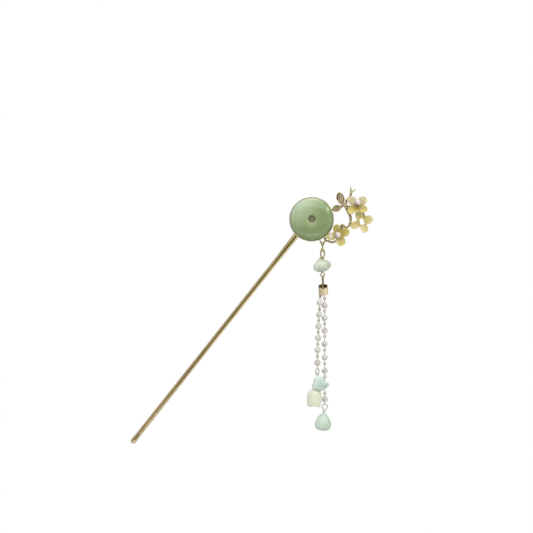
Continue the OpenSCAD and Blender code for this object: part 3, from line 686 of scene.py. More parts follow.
# plates: base, tip, width and the height of the back; the edges: share of the outline and height, from the
# back, from the front and from the rim's inside; cut: a stone's foot, girdle and table, each as a share of
# its radius, a height and a turn in facets
leaf = {"thick": 0.9, "rim": 0.82, "rimWire": 0.17, "rimSink": 0.06, "recess": 0.3, "points": 22,
        "backEdge": [(0.55, 0.0), (0.93, 0.0), (0.985, 0.1), (1.0, 0.25)],
        "frontEdge": [(1.0, -0.2), (0.975, -0.05), (0.93, 0)], "innerEdge": [(0.05, -0.02), (0, -0.1)],
        "stone": 0.88, "facets": 8, "cut": [(0.8, 0, 0), (1, 0.16, 0), (0.58, 0.4, 0.5)],
        "pitch": 1.0, "start": 0.4, "slack": 0.05, "claw": 0.1, "clawAside": 0.02, "clawRise": 0.2,
        "plates": {"Upper": ((15.8, 6.2), (13.4, 13.5), 4.0, 1.9),
                   "Lower": ((15.9, 6.4), (9.9, 4.5), 3.3, 2.1)}}


def leafHalf(t):
    return math.sin(math.pi * t ** 1.3) ** 0.85 / 2 if 0 < t < 1 else 0.0


def leafFrame(base, tip):
    run = np.array(tip) - np.array(base)
    return np.linalg.norm(run), turned("Z", math.degrees(math.atan2(run[1], run[0])) - 90)


def leafOutline(length, width, share):
    # right side from base to tip, then the left side back
    steps = [i / leaf["points"] for i in range(leaf["points"] + 1)]
    side = [(width * share * leafHalf(t), length * (0.5 + (t - 0.5) * share)) for t in steps]
    return side + [(-x, y) for x, y in reversed(side[1:-1])]


def makeLeaves():
    thick, rim = leaf["thick"], leaf["rim"]
    bed = thick - leaf["recess"]
    levels = leaf["backEdge"] + [(share, thick + h) for share, h in leaf["frontEdge"]]
    levels += [(rim + share, thick + h) for share, h in leaf["innerEdge"]] + [(rim - 0.02, bed), (0.4, bed)]
    clawAt = np.array((leaf["stone"] / 2 + leaf["clawAside"], 0, leaf["clawRise"]))
    stones = []
    for label, (base, tip, width, back) in leaf["plates"].items():
        length, turn = leafFrame(base, tip)
        at = (base[0], base[1], back)
        rings = [[(x, y, z) for x, y in leafOutline(length, width, share)] for share, z in levels]
        rimPath = [(x, y, thick - leaf["rimSink"]) for x, y in leafOutline(length, width, (rim + 1) / 2)]
        shells = [ringSkin(rings, (0, length / 2, 0), (0, length / 2, bed)),
                  tube(rimPath, leaf["rimWire"], 8, closed=True)]
        for x, y in stonePlaces(length, width):
            for quarter in range(4):
                # four small claws round each stone
                offset = turned("Z", 45 + 90 * quarter) @ clawAt + (x, y, bed)
                shells.append(moved(ball(leaf["claw"], 4, 8), None, offset))
            stones.append(moved(cutStone(), turn, turn @ np.array((x, y, bed + leaf["slack"])) + at))
        addPiece("leafPlate" + label, [moved(shell, turn, at) for shell in shells], twigGold)
    addPiece("leafStones", stones, leafGlass, ["leaf_stones"], smooth=False)


def stonePlaces(length, width):
    # rows of stones across the leaf's recess
    inner, span = width * leaf["rim"], length * leaf["rim"]
    base = (length - span) / 2
    margin = leaf["stone"] / 2 + leaf["slack"]
    places = []
    y = margin + leaf["start"]
    while y <= span - margin + 1e-9:
        room = inner * leafHalf(y / span) - margin - leaf["slack"]
        count = 0 if room < 0 else int(2 * room / leaf["pitch"]) + 1
        places += [((i - (count - 1) / 2) * leaf["pitch"], base + y) for i in range(count)]
        y += leaf["pitch"]
    return places


def cutStone():
    r = leaf["stone"] / 2
    rings = [cutRing(r * share, h, leaf["facets"], shift) for share, h, shift in leaf["cut"]]
    return ringSkin(rings, (0, 0, leaf["cut"][0][1]), (0, 0, leaf["cut"][-1][1]))


bail = {"left": (4.0, -10.1, 2.3), "apex": (5.5, -13.62, 2.5), "right": (7.15, -9.5, 2.2), "wire": 0.36,
        "stops": (0.0, 0.5, 0.86), "apexRise": 0.03}


def makeBail():
    left, apex, right = (np.array(bail[k]) for k in ("left", "apex", "right"))
    rows = [left + (apex - left) * t for t in bail["stops"]] + [apex + (0, bail["apexRise"], 0)]
    rows += [right + (apex - right) * t for t in reversed(bail["stops"])]
    rows = curveThrough([(*row, bail["wire"]) for row in rows], 0.2)
    addPiece("tasselBail", [tube(rows[:, :3], rows[:, 3], 14)], twigGold)


# Blossoms

# A petal lifts towards its tip, cups across, is thinner at its edge and starts at its root
petal = {"thick": 0.9, "cup": 0.55, "lift": 0.9, "sink": 0.3, "root": 0.2, "egg": 0.1, "edge": 0.45,
         "ripple": 0.025, "rings": 9, "sectors": 44, "hubR": 1.9, "hubThick": 0.9, "hubEdge": 0.2,
         "voxel": 0.1, "even": 3}
pegs = {"r": 0.35, "drop": 2.6, "rise": 2.25, "slack": 0.07}
pearl = {"r": 1.5, "levels": 26, "pore": 0.01, "bed": 0.05}
# petals: direction in degrees, length and half width; low and high: tones from the root to the edge in the
# lower and the upper part of the blossom, which differ by painted light and shade; holes: place and radius of
# what is open in its middle
blossoms = {
    "Upper": {"at": (22.7, 6.8, 3.9), "nod": 35, "turn": 0, "cad": "flower_upper", "holes": [],
              "petals": [(43, 6.2, 2.3), (135, 6.3, 2.3), (233, 6.9, 2.25), (314, 6.3, 2.3)],
              "low": [(0.40, 0.29, 0.05), (0.54, 0.43, 0.06), (0.57, 0.48, 0.075), (0.76, 0.70, 0.26)],
              "high": [(0.46, 0.35, 0.16), (0.52, 0.43, 0.25), (0.56, 0.49, 0.26), (0.74, 0.71, 0.46)]},
    "Side": {"at": (25.1, -1.45, 2.7), "nod": 0, "turn": 0, "cad": "flower_side",
             "holes": [(-0.2, 0.75, 1.0), (0.15, -0.4, 1.15)],
             "petals": [(20, 5.9, 2.15), (114, 5.6, 2.0), (205, 6.3, 1.95), (291, 5.75, 1.85)],
             "low": [(0.68, 0.55, 0.23), (0.78, 0.65, 0.29), (0.80, 0.71, 0.31), (0.90, 0.86, 0.50)],
             "high": [(0.76, 0.63, 0.24), (0.86, 0.75, 0.31), (0.88, 0.79, 0.34), (0.94, 0.90, 0.54)]},
    "Lower": {"at": (13.15, -7.85, 4.0), "nod": -5, "turn": -6, "cad": "flower_lower", "holes": [],
              "petals": [(20, 6.15, 2.15), (100, 5.25, 2.0), (194, 5.9, 1.9), (294, 6.0, 2.3)],
              "low": [(0.62, 0.48, 0.14), (0.80, 0.67, 0.27), (0.81, 0.73, 0.26), (0.90, 0.86, 0.50)],
              "high": [(0.46, 0.34, 0.07), (0.57, 0.45, 0.10), (0.70, 0.59, 0.15), (0.88, 0.82, 0.36)],
              # painted highlight: a near-white glare spot on the left petal
              "clear": (9.7, -8.4, 4.0, 1.35)},
}


def petalShell(length, half, seed):
    middle, halfL = (length + petal["root"]) / 2, (length - petal["root"]) / 2

    def point(share, a, side):
        ripple = 1 + petal["ripple"] * math.sin(3 * math.radians(a) + seed) * share
        x = middle + halfL * share * degreeCos(a) * ripple
        y = half * share * degreeSin(a) * (1 + petal["egg"] * degreeCos(a))
        bend = petal["lift"] * ((x / length) ** 2 - petal["sink"]) + petal["cup"] * (y / half) ** 2
        thick = petal["thick"] / 2 * (1 - (1 - petal["edge"]) * share ** 2)
        return x, y, bend + side * thick
    sectors = petal["sectors"]

    def ring(share, side):
        return [point(share, 360 * j / sectors, side) for j in range(sectors)]
    shares = [(k + 1) / petal["rings"] for k in range(petal["rings"])]
    rings = [ring(s, 1) for s in shares] + [ring(s, -1) for s in reversed(shares)]
    return ringSkin(rings, point(0, 0, 1), point(0, 0, -1))


def hubShell():
    r, half, edge = petal["hubR"], petal["hubThick"] / 2, petal["hubEdge"]
    upper = [(r, half - edge), (r - edge, half), (0, half)]
    return lathe([(x, -h) for x, h in reversed(upper)] + upper, 36)


def pearlShell(bore):
    r, bed, pore = pearl["r"], pearl["bed"], pearl["pore"]
    start = math.degrees(math.asin(bore / r))
    angles = np.linspace(180 - start, 0.5, pearl["levels"])
    skin = [(r * degreeSin(a), r * degreeCos(a)) for a in angles]
    return lathe([(bore, bed)] + skin + [(pore, r), (pore, bed)], 40, bored=True)


def makeBlossoms():
    bore = pegs["r"] + pegs["slack"]
    for label, row in blossoms.items():
        at = row["at"]
        pose = turned("Y", row["turn"]) @ turned("X", -row["nod"])
        shells = [moved(petalShell(length, half, k * 1.3), turned("Z", azimuth))
                  for k, (azimuth, length, half) in enumerate(row["petals"])] + [hubShell()]
        finish = petalFinish("petal" + label, at, row["low"], row["high"], row.get("clear"))
        piece = addPiece("blossom" + label, [moved(shell, pose, at) for shell in shells], finish,
                         [row["cad"]], fuse=petal["voxel"], even=petal["even"])
        for x, y, r in row["holes"] or [(0, 0, bore)]:
            ends = [pose @ np.array((x, y, h)) + np.array(at) for h in (-pegs["drop"], pegs["drop"])]
            cutWith(piece, rod(*ends, r, 40))
        if row["holes"]:
            # the open centre gets a soft edge, and no peg or pearl
            fused(piece, petal["voxel"], petal["even"])
            continue
        peg = tube([(0, 0, -pegs["drop"]), (0, 0, pegs["rise"])], pegs["r"], 14)
        addPiece("peg" + label, [moved(peg, pose, at)], twigGold)
        centre = pose @ np.array((0, 0, pegs["rise"])) + np.array(at)
        lustre = pearlFinish("pearl" + label, rowPoint(*centre))
        addPiece("pearl" + label, [moved(pearlShell(bore), pose, centre)], lustre,
                 ["pearl_" + label.lower()])


# The tassel

# bailLink: top, length, loop, turn; capLink: radius of its upper and its lower bend
tassel = {"x": 5.5, "z": 2.5, "link": 0.3, "bailLink": (-11.57, 4.56, 0.95, 84), "lensWire": 0.36,
          "lensTop": -14.5, "lensBottom": -20.0, "lensHalf": 0.93, "budWire": 0.2, "budLoop": 0.95,
          "budHook": 1.2, "budRing": 1.03, "budRingY": -27.78, "capLink": (0.72, 0.55), "capLinkTurn": 20,
          "play": 0.15, "voxel": 0.07, "even": 2}
budLoopY = tassel["lensBottom"] + tassel["budHook"] - tassel["budLoop"]
# r: half widths across, in depth and in height; peak: place, height and spread of the bump on top;
# pocket: radius of the room for the link
budPiece = {"at": (5.1, -23.38, 2.5), "r": (4.37, 3.7, 3.05), "slant": 0.13, "peak": (-0.85, -0.9, 1.55, 1.5),
            "lobes": 5, "lobeDepth": 0.04, "lump": 0.04, "sectors": 56, "pocket": 1.2, "pocketUp": 0.72,
            "slack": 0.07, "slot": 0.1}
# web: the floor between the cap's two wells; roots: where the strands' eyes stand on it; rim: steps from the
# outer corner as shares of ease; boreEdge: steps from the inner corner
capPiece = {"at": (5.83, -35.25, 1.75), "lean": 34, "roll": 4, "turn": 30, "w": 5.3, "length": 4.2,
            "wall": 0.42, "web": 0.7, "webHole": 0.3, "ease": 0.12, "rim": [(0, -1), (-0.3, -0.3), (-1, 0)],
            "boreEdge": [(0.05, 0), (0, -0.08)], "eye": 0.68, "eyeForward": 0.35,
            "eyeSink": 0.08, "roots": {"left": (-0.9, 0.6), "right": (0.6, -0.1)}}


def longLink(length, loop, wireR, sides=12, foot=None):
    # a link with straight sides that hangs from the middle of its top bend; foot: radius of its lower bend
    foot = foot or loop
    top = [(x, y - loop, 0) for x, y, z in circle(loop, 20, 0, 180)]
    bottom = [(x, y - length + foot, 0) for x, y, z in circle(foot, 20, 180, 180)]
    return tube(top + bottom, wireR, sides, closed=True)


def lensLink(length, half, wireR, sides=14):
    # two bows that meet in a point above and below; it hangs from its upper point
    reach = length / 2
    bowR = (reach ** 2 + half ** 2) / (2 * half)
    bow = math.degrees(math.asin(reach / bowR))
    path = []
    for side in (1, -1):
        path += [(side * (bowR * degreeCos(a) - bowR + half), side * bowR * degreeSin(a) - reach, 0)
                 for a in np.linspace(-bow, bow, 25)[:-1]]
    tips = [moved(ball(wireR * 1.05, 10, 20), None, (0, end, 0)) for end in (0, -length)]
    return [tube(path, wireR, sides, closed=True)] + tips


def capPoint(x, forward, up):
    # a place in the leaning cap: right, towards the viewer and up along it
    lean, roll = capPiece["lean"], capPiece["roll"]
    y = up * degreeCos(lean) - forward * degreeSin(lean)
    return np.array(capPiece["at"]) + np.array((
        x * degreeCos(roll) - y * degreeSin(roll), x * degreeSin(roll) + y * degreeCos(roll),
        up * degreeSin(lean) + forward * degreeCos(lean)))


def makeTopLinks():
    x, z, linkR, play = tassel["x"], tassel["z"], tassel["link"], tassel["play"]
    top, length, loop, turn = tassel["bailLink"]
    link = moved(longLink(length, loop, linkR, 14), turned("Y", turn), (x, top, z))
    addPiece("bailLink", [link], linkGold, ["bail_link"])
    lens = lensLink(tassel["lensTop"] - tassel["lensBottom"], tassel["lensHalf"], tassel["lensWire"])
    lens = [moved(shell, None, (x, tassel["lensTop"], z)) for shell in lens]
    addPiece("ovalLink", lens, linkGold, ["oval_link"])

    loop, wireR, ring, ringY = tassel["budLoop"], tassel["budWire"], tassel["budRing"], tassel["budRingY"]
    pin = [moved(wireRing(loop, wireR, 32, 12), turned("Y", 90), (x, budLoopY, z)),
           moved(wireRing(ring, wireR * 1.25, 36, 12), None, (x, ringY, z)),
           tube([(x, budLoopY - loop, z), (x, ringY + ring, z)], wireR * postShare, 12)]
    addPiece("budPin", pin, twigGold, ["bud_pin"], fuse=tassel["voxel"], even=tassel["even"])

    # the link between the bead's lower ring and the cap's eye
    eye = capPoint(0, capPiece["eyeForward"], capPiece["web"] / 2 + capPiece["eye"] - capPiece["eyeSink"])
    start = np.array((x, ringY - ring + wireR + linkR + play, z))
    end = np.array((eye[0], eye[1] + capPiece["eye"] - linkR - wireR - play, z))
    turn = frameAlong(end - start) @ turned("Z", tassel["capLinkTurn"]) @ turned("X", -90)
    head, foot = tassel["capLink"]
    link = longLink(np.linalg.norm(end - start), head, linkR, foot=foot)
    addPiece("capLink", [moved(link, turn, start)], twigGold, ["cap_link"])


def budPoint(tilt, a):
    swell = 1 + budPiece["lobeDepth"] * degreeCos(budPiece["lobes"] * a) * degreeCos(tilt)
    rx, rz, ry = budPiece["r"]
    x = rx * swell * degreeCos(tilt) * degreeCos(a)
    z = -rz * swell * degreeCos(tilt) * degreeSin(a)
    peakX, peakZ, height, spread = budPiece["peak"]
    away = math.hypot(x - peakX, z - peakZ) / spread
    lump = budPiece["lump"] * noise.noise(Vector((x * 0.5, ry * degreeSin(tilt) * 0.5, z * 0.5)))
    rise = height * math.exp(-away * away) if tilt > 0 else 0.0
    return x * (1 + lump), ry * degreeSin(tilt) + budPiece["slant"] * x + rise, z * (1 + lump)


def makeBud():
    at, x, z, sectors = budPiece["at"], tassel["x"], tassel["z"], budPiece["sectors"]
    rings = [[budPoint(tilt, 360 * j / sectors) for j in range(sectors)] for tilt in range(85, -86, -5)]
    shell = moved(ringSkin(rings, budPoint(90, 0), budPoint(-90, 0)), None, at)
    piece = addPiece("budBead", [shell], budGlass, ["bud_bead"])
    # a bore for the pin, and slots for the link and for the pin's loop that crosses it
    linkSlot, loopSlot = tassel["lensWire"] + budPiece["slot"], tassel["budWire"] + budPiece["slot"]
    loopR, pocketY = tassel["budLoop"] + loopSlot, tassel["lensBottom"] + budPiece["pocketUp"]
    ends = [(x, at[1] + way * cutReach, z) for way in (1, -1)]
    cutWith(piece, rod(*ends, tassel["budWire"] + budPiece["slack"]))
    cutWith(piece, rod((x, pocketY, z - linkSlot), (x, pocketY, z + linkSlot), budPiece["pocket"], 40))
    cutWith(piece, rod((x - loopSlot, budLoopY, z), (x + loopSlot, budLoopY, z), loopR, 40))


def hexRing(r, h):
    # a six-sided ring with eased corners
    out = []
    for k in range(6):
        a, b = (np.array((degreeCos(60 * i), degreeSin(60 * i))) for i in (k, k + 1))
        out += [(*(r * (a * (1 - t) + b * t)), h) for t in (0.03, 0.1, 0.5, 0.9, 0.97)]
    return out


def makeCap():
    half, corner, web = capPiece["length"] / 2, capPiece["w"] / 2, capPiece["web"] / 2
    bore, ease, hole = corner - capPiece["wall"] / degreeCos(30), capPiece["ease"], capPiece["webHole"]
    upper = [(corner + ease * x, half + ease * h) for x, h in capPiece["rim"]]
    upper += [(bore + x, half + h) for x, h in capPiece["boreEdge"]]
    upper += [(bore, web), (bore * 0.5, web), (hole, web)]
    levels = upper + [(r, -h) for r, h in reversed(upper)]
    upright = turned("Z", capPiece["roll"]) @ turned("X", capPiece["lean"] - 90)
    pose = upright @ turned("Z", capPiece["turn"])
    plugR, plugH = hole * 1.2, web - 0.02
    shells = [ringSkin([hexRing(r, h) for r, h in levels], looped=True),
              lathe([(0, -plugH), (plugR, -plugH), (plugR, plugH), (0, plugH)], 16)]
    shells = [moved(shell, pose, capPiece["at"]) for shell in shells]
    piece = addPiece("tasselCap", shells, [capGold, paintedWellShade], ["tassel_cap"], smooth=False)
    for polygon in piece.data.polygons:
        # painted shade: both wells are dark, but for the left of their back walls, which stays lit
        x, y, up = (headPoint(polygon.center) - capPiece["at"]) @ upright
        inWell = math.hypot(x, y) < bore * 0.99 and abs(up) < half - 0.05
        if inWell and (abs(up) < web + 0.05 or y < bore * 0.3 or x > bore * 0.25):
            polygon.material_index = 1

    eyeAt = capPoint(0, capPiece["eyeForward"], web + capPiece["eye"] - capPiece["eyeSink"])
    shells = [moved(wireRing(capPiece["eye"], tassel["budWire"], 32, 12), None, eyeAt)]
    loop, wireR = strand["loop"], strand["wire"]
    for side, root in capPiece["roots"].items():
        at = strandJoint(side, 0) + (0, jointHalf, 0)
        shells.append(moved(wireRing(loop, wireR), turned("Y", strand[side]["turns"][1]), at))
        shells.append(tube([capPoint(*root, 0), at + (0, loop, 0)], wireR * postShare))
    addPiece("capEyes", shells, wireGold)


# The two strands

# cut: a crystal's belts of corners, each as shares of its radius out and up, and a turn in facets;
# turns: how a pin's upper and lower loop face; x, y and z: where the loops meet, from the cap down
strand = {"wire": 0.21, "loop": 0.62, "play": 0.03, "slack": 0.07, "sides": 10,
          "cut": [(0.52, -0.9, 0), (0.92, -0.42, 0.5), (1.0, 0, 0), (0.92, 0.42, 0.5), (0.52, 0.9, 0)],
          "left": {"r": 1.6, "turns": (-30, 60), "seed": 0, "x": (4.3, 4.0, 3.65, 3.4, 3.15, 2.95, 2.9),
                   "y": (-38.5, -44.9, -50.5, -56.4, -62.2, -68.4, -74.85), "z": (1.1, 2.2)},
          "right": {"r": 1.5, "turns": (90, 0), "seed": 3, "x": (6.6, 6.75),
                    "y": (-39.95, -46.35, -52.55, -58.95, -65.85, -72.45, -79.2, -87.45, -92.74),
                    "z": (-0.3, -1.0)}}
jointHalf = strand["loop"] - strand["wire"] - strand["play"]


def beadCount(side):
    return len(strand[side]["y"]) - 1


def strandJoint(side, i):
    # where two loops meet; a row of two x or z runs evenly down the strand
    row = strand[side]
    t = i / beadCount(side)
    x, z = (np.interp(t, np.linspace(0, 1, len(row[key])), row[key]) for key in "xz")
    return np.array((x, row["y"][i], z))


def eyePin(top, bottom, topTurn, bottomTurn):
    # a pin with a loop at each end
    long = np.linalg.norm(bottom - top)
    loop, wireR = strand["loop"], strand["wire"]
    shells = [moved(wireRing(loop, wireR), turned("Z", 90 - face) @ turned("X", 90), (0, 0, h))
              for h, face in ((jointHalf, topTurn), (long - jointHalf, bottomTurn))]
    shells.append(tube([(0, 0, jointHalf + loop), (0, 0, long - jointHalf - loop)], wireR * postShare))
    return [moved(shell, frameAlong(bottom - top), top) for shell in shells]


def crystalBead(top, bottom, r, seed):
    # a cut bead: three belts of offset facets and a bore
    sides = strand["sides"]
    belts = [(share * r, h * r, shift) for share, h, shift in strand["cut"]]
    hole = strand["wire"] + strand["slack"]
    levels = [(hole, *belts[0][1:])] + belts + [(hole, *belts[-1][1:])]
    points = [p for reach, h, shift in levels for p in cutRing(reach, h, sides, shift)]
    faces = []
    for i, level in enumerate(levels):
        after = (i + 1) % len(levels)
        a, b = i * sides, after * sides
        shift = levels[after][2] - level[2]
        for j in range(sides):
            k = (j + 1) % sides
            if shift > 0:
                faces += [(a + j, a + k, b + j), (a + k, b + k, b + j)]
            elif shift < 0:
                faces += [(a + j, b + k, b + j), (a + j, a + k, b + k)]
            else:
                faces.append((a + j, a + k, b + k, b + j))
    turn = frameAlong(bottom - top) @ turned("Z", seed * 47.0)
    return moved((np.array(points), faces), turn, (top + bottom) / 2)


def makeStrands():
    for side in ("left", "right"):
        row, count = strand[side], beadCount(side)
        upper, lower = row["turns"]
        shells = []
        for i in range(1, count + 1):
            top, bottom = strandJoint(side, i - 1), strandJoint(side, i)
            shells += eyePin(top, bottom, upper, lower if i < count else 90)
            bead = crystalBead(top, bottom, row["r"], row["seed"] + i)
            addPiece(f"{side}Crystal{i}", [bead], crystal, [f"{side}_crystal_{i}"], smooth=False)
        addPiece(side + "Pins", shells, wireGold, [side + "_links"])


# The charms

charm = {"ringR": 0.8, "ringLength": 2.75, "ringWire": 0.22, "ringRise": 0.27, "loop": 0.64, "hang": 0.1,
         "wire": 0.17, "starHook": 66, "bellHook": 114, "slack": 0.07}
ringTop = strandJoint("left", beadCount("left")) + (0, charm["ringRise"], 0)
ringAt = ringTop + (0, charm["ringR"] - charm["ringLength"], 0)


def hook(angle):
    # where a charm's loop hangs on the foot of the ring
    return ringAt + (charm["ringR"] + charm["hang"]) * np.array((degreeCos(angle), -degreeSin(angle), 0))


def charmLoop(top, end):
    ring = moved(wireRing(charm["loop"], charm["wire"]), turned("X", 90))
    start = top + (end - top) / np.linalg.norm(end - top) * charm["loop"]
    return [moved(ring, frameAlong(end - top), top), tube([start, end], charm["wire"] * postShare)]


# lobes: reach, and the share of it that is left in the valley after it
star = {"at": (4.3, -81.85, 3.15), "half": 1.6, "turn": -10, "bore": 1.5, "sectors": 90,
        "lobes": [(4.5, 0.7), (3.45, 0.88), (4.1, 0.8), (4.6, 0.9), (3.9, 0.86)]}


def starReach(a):
    lobes = star["lobes"]
    step = 360 / len(lobes)
    i, share = int(a // step), a / step - a // step
    (reach, valley), (following, _) = lobes[i % len(lobes)], lobes[(i + 1) % len(lobes)]
    share = share * share * (3 - 2 * share)
    dip = (1 - valley) * (1 - degreeCos(len(lobes) * a)) / 2
    return (reach * (1 - share) + following * share) * (1 - dip)


def starPoint(tilt, a):
    # rounded pillow section, pinched a little towards the tips
    reach = starReach(a) * degreeCos(tilt) ** 0.9
    flat = math.copysign(abs(degreeSin(tilt)) ** 0.85, tilt)
    return reach * degreeCos(a), reach * degreeSin(a), star["half"] * flat


def makeStar():
    at, half, sectors = np.array(star["at"]), star["half"], star["sectors"]
    top = hook(charm["starHook"])
    line = (at - top) / np.linalg.norm(at - top)
    rings = [[starPoint(tilt, 360 * j / sectors) for j in range(sectors)] for tilt in range(84, -85, -7)]
    shell = moved(ringSkin(rings, (0, 0, half), (0, 0, -half)), turned("Z", star["turn"]), at)
    piece = addPiece("starBead", [shell], starGlass, ["star_bead"])
    foot = at + line * star["bore"]
    cutWith(piece, rod(at - line * cutReach, foot + line * 0.05, charm["wire"] + charm["slack"]))
    addPiece("starPin", charmLoop(top, foot), wireGold, ["star_pin"])


# crown: width and height of its arc as shares of r; side: share of r, and of the length below the crown
bell = {"at": (1.6, -84.6, 0.9), "r": 3.65, "length": 9.0, "lean": 2.5, "wall": 0.9, "hollow": 3.4,
        "crown": (0.97, 0.85), "side": [(0.995, 0.42), (1, 0.52), (0.99, 0.66), (0.965, 0.78), (0.92, 0.9)],
        "mouth": 0.87, "lipUp": 0.34, "lobes": 4, "notch": -86, "notchUp": 0.62, "fold": 0.018, "sectors": 96,
        "pinRise": 0.5, "pinTail": 0.75}


def bellProfile():
    # the outside from the crown to the mouth, then the inside back up; heights count down from the crown
    r, length = bell["r"], bell["length"]
    mouthR = r * bell["mouth"]
    wide, high = bell["crown"]
    outside = [(r * wide * degreeCos(a), -r * high * (1 - degreeSin(a))) for a in range(84, 14, -6)]
    outside += [(r * share, -length * down) for share, down in bell["side"]]
    outside += [(mouthR + 0.03, -length + 0.12), (mouthR - 0.1, -length)]
    lip, roof = mouthR - bell["wall"], bell["hollow"] - bell["lipUp"]
    inside = [(lip + 0.1, -length), (lip, -length + 0.12)]
    inside += [(lip * degreeCos(a), bell["lipUp"] + roof * degreeSin(a) - length) for a in range(6, 85, 6)]
    return outside + inside


def bellPoint(r, h, a):
    # petal folds: shallow flutes that deepen towards a scalloped mouth
    down = min(1.0, max(0.0, -h / bell["length"]))
    fold = degreeCos(bell["lobes"] * (a - bell["notch"]))
    reach = r * (1 - bell["fold"] * down * max(0.0, fold) ** 3) if r > 1.2 else r
    lift = bell["notchUp"] * max(0.0, (fold - 0.1) / 0.9) ** 1.4 if down > 0.93 else 0.0
    return reach * degreeCos(a), reach * degreeSin(a), h + lift


def makeBell():
    at, length, wireR, sectors = np.array(bell["at"]), bell["length"], charm["wire"], bell["sectors"]
    rings = [[bellPoint(r, h, 360 * j / sectors) for j in range(sectors)] for r, h in bellProfile()]
    shell = ringSkin(rings, (0, 0, 0), (0, 0, bell["hollow"] - length))
    shell = moved(shell, turned("Z", -bell["lean"]) @ turned("X", -90), at)
    piece = addPiece("bellBead", [shell], bellGlass, ["bell_bead"])
    bend = at + (0, bell["pinRise"], 0)
    end = at - (0, length - bell["hollow"] + bell["pinTail"], 0)
    cutWith(piece, rod(bend, at - (0, length - 1, 0), wireR + charm["slack"]))
    shells = charmLoop(hook(charm["bellHook"]), bend)
    shells += [moved(ball(wireR), None, bend), tube([bend, end], wireR * postShare),
               moved(ball(wireR * 2, 10, 20), None, end)]
    addPiece("bellPin", shells, wireGold, ["bell_pin"])
    ring = longLink(charm["ringLength"], charm["ringR"], charm["ringWire"])
    addPiece("charmRing", [moved(ring, None, ringTop)], wireGold, ["left_ring"])


# low: power that fills out the lower half; the eye is a loop that closes on a foot inside the bead
drop = {"at": (5.9, -101.25, -1.0), "r": 3.75, "length": 9.0, "egg": 0.4, "lean": 5, "low": 0.8,
        "lump": 0.025, "lumpEase": 0.012, "sectors": 64, "eyeAt": (6.75, -93.75, -1.0), "eyeLoop": 1.28,
        "spread": 38, "foot": (6.4, -96.5, -1.0), "footR": 0.45, "pinLength": 3, "slack": 0.07}


def dropPoint(tilt, a):
    low = drop["low"] if tilt < 0 else 1.0
    reach = drop["r"] * degreeCos(tilt) ** low * (1 - drop["egg"] * degreeSin(tilt))
    lump = 1 + drop["lump"] * math.cos(2 * math.radians(a) + 0.6) - drop["lumpEase"]
    return reach * lump * degreeCos(a), reach * lump * degreeSin(a), drop["length"] / 2 * degreeSin(tilt)


def makeDrop():
    sectors, spread, footR, wireR = drop["sectors"], drop["spread"], drop["footR"], strand["wire"]
    rings = [[dropPoint(tilt, 360 * j / sectors) for j in range(sectors)] for tilt in range(-85, 86, 5)]
    pose = turned("X", -90) @ turned("Y", drop["lean"])
    shell = moved(ringSkin(rings, dropPoint(-90, 0), dropPoint(90, 0)), pose, drop["at"])
    piece = addPiece("dropBead", [shell], dropGlass, ["drop_bead"])
    foot = np.array(drop["foot"])
    cutWith(piece, rod(foot + (0, 0.5, 0), foot - (0, drop["pinLength"] + 0.2, 0), wireR + drop["slack"]))
    cutWith(piece, moved(ball(footR + 0.05, 12, 24), None, foot))
    loop = circle(drop["eyeLoop"], 36, -spread, 180 + 2 * spread) + np.array(drop["eyeAt"])
    rows = curveThrough([(*p, wireR) for p in (foot, *loop, foot)], 0.3)
    shells = [tube(rows[:, :3], wireR, 12), moved(ball(footR, 10, 20), None, foot),
              tube([foot, foot - (0, drop["pinLength"], 0)], wireR, 12)]
    addPiece("dropEye", shells, wireGold, ["drop_eye"])


# The studio

# aim: the middle of the view; lit: what the panels face; surround: brightness of the world from the
# side away from brightSide to that side, which gives the stick its dark streak and bright edge
studio = {"floorZ": -0.6, "floorR": 0.68, "lens": 108.0, "away": 0.7995, "aim": (-22.45, -23.65, 0),
          "lit": (8, -10, 3), "brightSide": (0.78, 0.0, -0.62), "tint": (1, 0.995, 0.98),
          "surround": [(0.0, 0.52), (0.3, 0.46), (0.45, 0.28), (0.53, 0.01), (0.80, 0.01), (0.88, 0.9),
                       (1.0, 1.1)]}
panels = {
    "keySoft": {"toward": (0.1, -0.6, 0.55), "away": 0.85, "size": (1.1, 0.8), "watts": 4.4},
    "topSoft": {"toward": (0.0, 0.06, 1.0), "away": 0.9, "size": (0.9, 0.6), "watts": 2.5,
                "along": (0, 1, 0)},
    "lowFill": {"toward": (-0.2, -0.55, -0.8), "away": 0.93, "size": (1.3, 0.9), "watts": 6.5},
    "rightStrip": {"toward": (0.70, -0.38, 0.44), "away": 0.75, "size": (0.1, 0.55), "watts": 1.8,
                   "along": (0.135, 0.705, 0.244)},
    "leftStrip": {"toward": (-0.47, -0.15, 0.63), "away": 0.8, "size": (0.1, 0.8), "watts": 0.9,
                  "along": (0.3, 1.05, 0.48)},
}


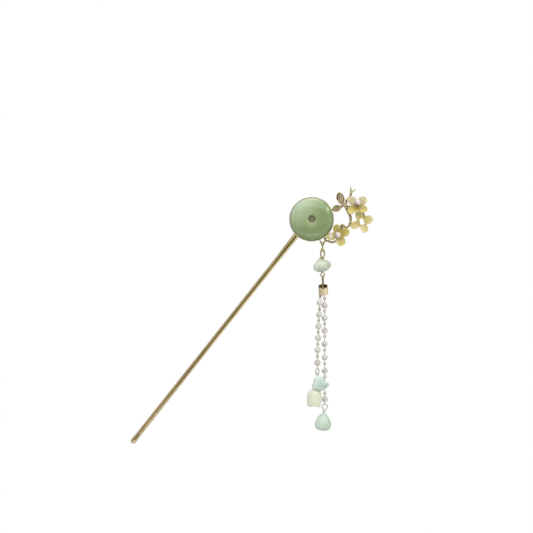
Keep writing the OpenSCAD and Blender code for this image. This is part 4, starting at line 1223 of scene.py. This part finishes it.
def addPanel(name, toward, away, size, watts, along=(0, 0, 1)):
    # a soft light that faces the head from a direction, with its height along the given one
    data = bpy.data.lights.new(name, "AREA")
    data.shape = "RECTANGLE"
    data.size, data.size_y = size
    data.energy = watts
    lamp = inScene(name, data)
    back = Vector(toward).normalized()
    side = Vector(along).cross(back).normalized()
    lamp.location = rowPoint(*studio["lit"]) + back * away
    lamp.rotation_euler = Matrix((side, back.cross(side), back)).transposed().to_euler()


def addCamera():
    centre = rowPoint(*studio["aim"])
    camera = inScene("camera", bpy.data.cameras.new("camera"))
    camera.location = (centre.x, -studio["away"], centre.z)
    camera.rotation_euler = (math.radians(90), 0, 0)
    camera.data.sensor_width = 36.0
    camera.data.lens = studio["lens"]
    camera.data.clip_start = 0.01
    bpy.context.scene.camera = camera


def addFloor():
    mesh = bpy.data.meshes.new("floor")
    points = [(x, y, studio["floorZ"]) for x, y in arc(0, 0, studio["floorR"], range(0, 360, 5))]
    mesh.from_pydata(points, [], [tuple(range(len(points)))])
    paint = Finish("floorPaint")
    paint.paint(paint.noiseField(3, 2), [(0.3, (0.86, 0.86, 0.85)), (0.7, (0.9, 0.9, 0.89))])
    paint.put(Roughness=0.9)
    mesh.materials.append(paint.material)
    floor = inScene("floor", mesh)


def makeWorld():
    # plain white to the camera, and a gradient for whatever else looks at it
    world = bpy.data.worlds.new("studio")
    world.use_nodes = True
    bpy.context.scene.world = world
    sky = Nodes(world.node_tree, "Generated")
    side = sky.vector("DOT_PRODUCT", sky.place, studio["brightSide"], "Value")
    stops = [(at, [value * tint for tint in studio["tint"]]) for at, value in studio["surround"]]
    gradient = sky.ramp(sky.fitted(side, 0.0, 1.0, -1.0, 1.0), stops)
    seen = sky.add("ShaderNodeLightPath").outputs["Is Camera Ray"]
    back = sky.tree.nodes["Background"]
    sky.link(sky.blended(seen, gradient), back.inputs["Color"])
    back.inputs["Strength"].default_value = 1.0


def makeStudio():
    addCamera()
    for name, row in panels.items():
        addPanel(name, **row)
    addFloor()
    makeWorld()
    bpy.context.scene.view_settings.view_transform = "Standard"


makeStick()
makeCup()
makeDisc()
print("stick and disc done")
makeTwig()
makeLeaves()
makeBail()
makeBlossoms()
print("twig and blossoms done")
makeTopLinks()
makeBud()
makeCap()
makeStrands()
makeStar()
makeBell()
makeDrop()
print("tassel done")
makeStudio()
print("studio done")
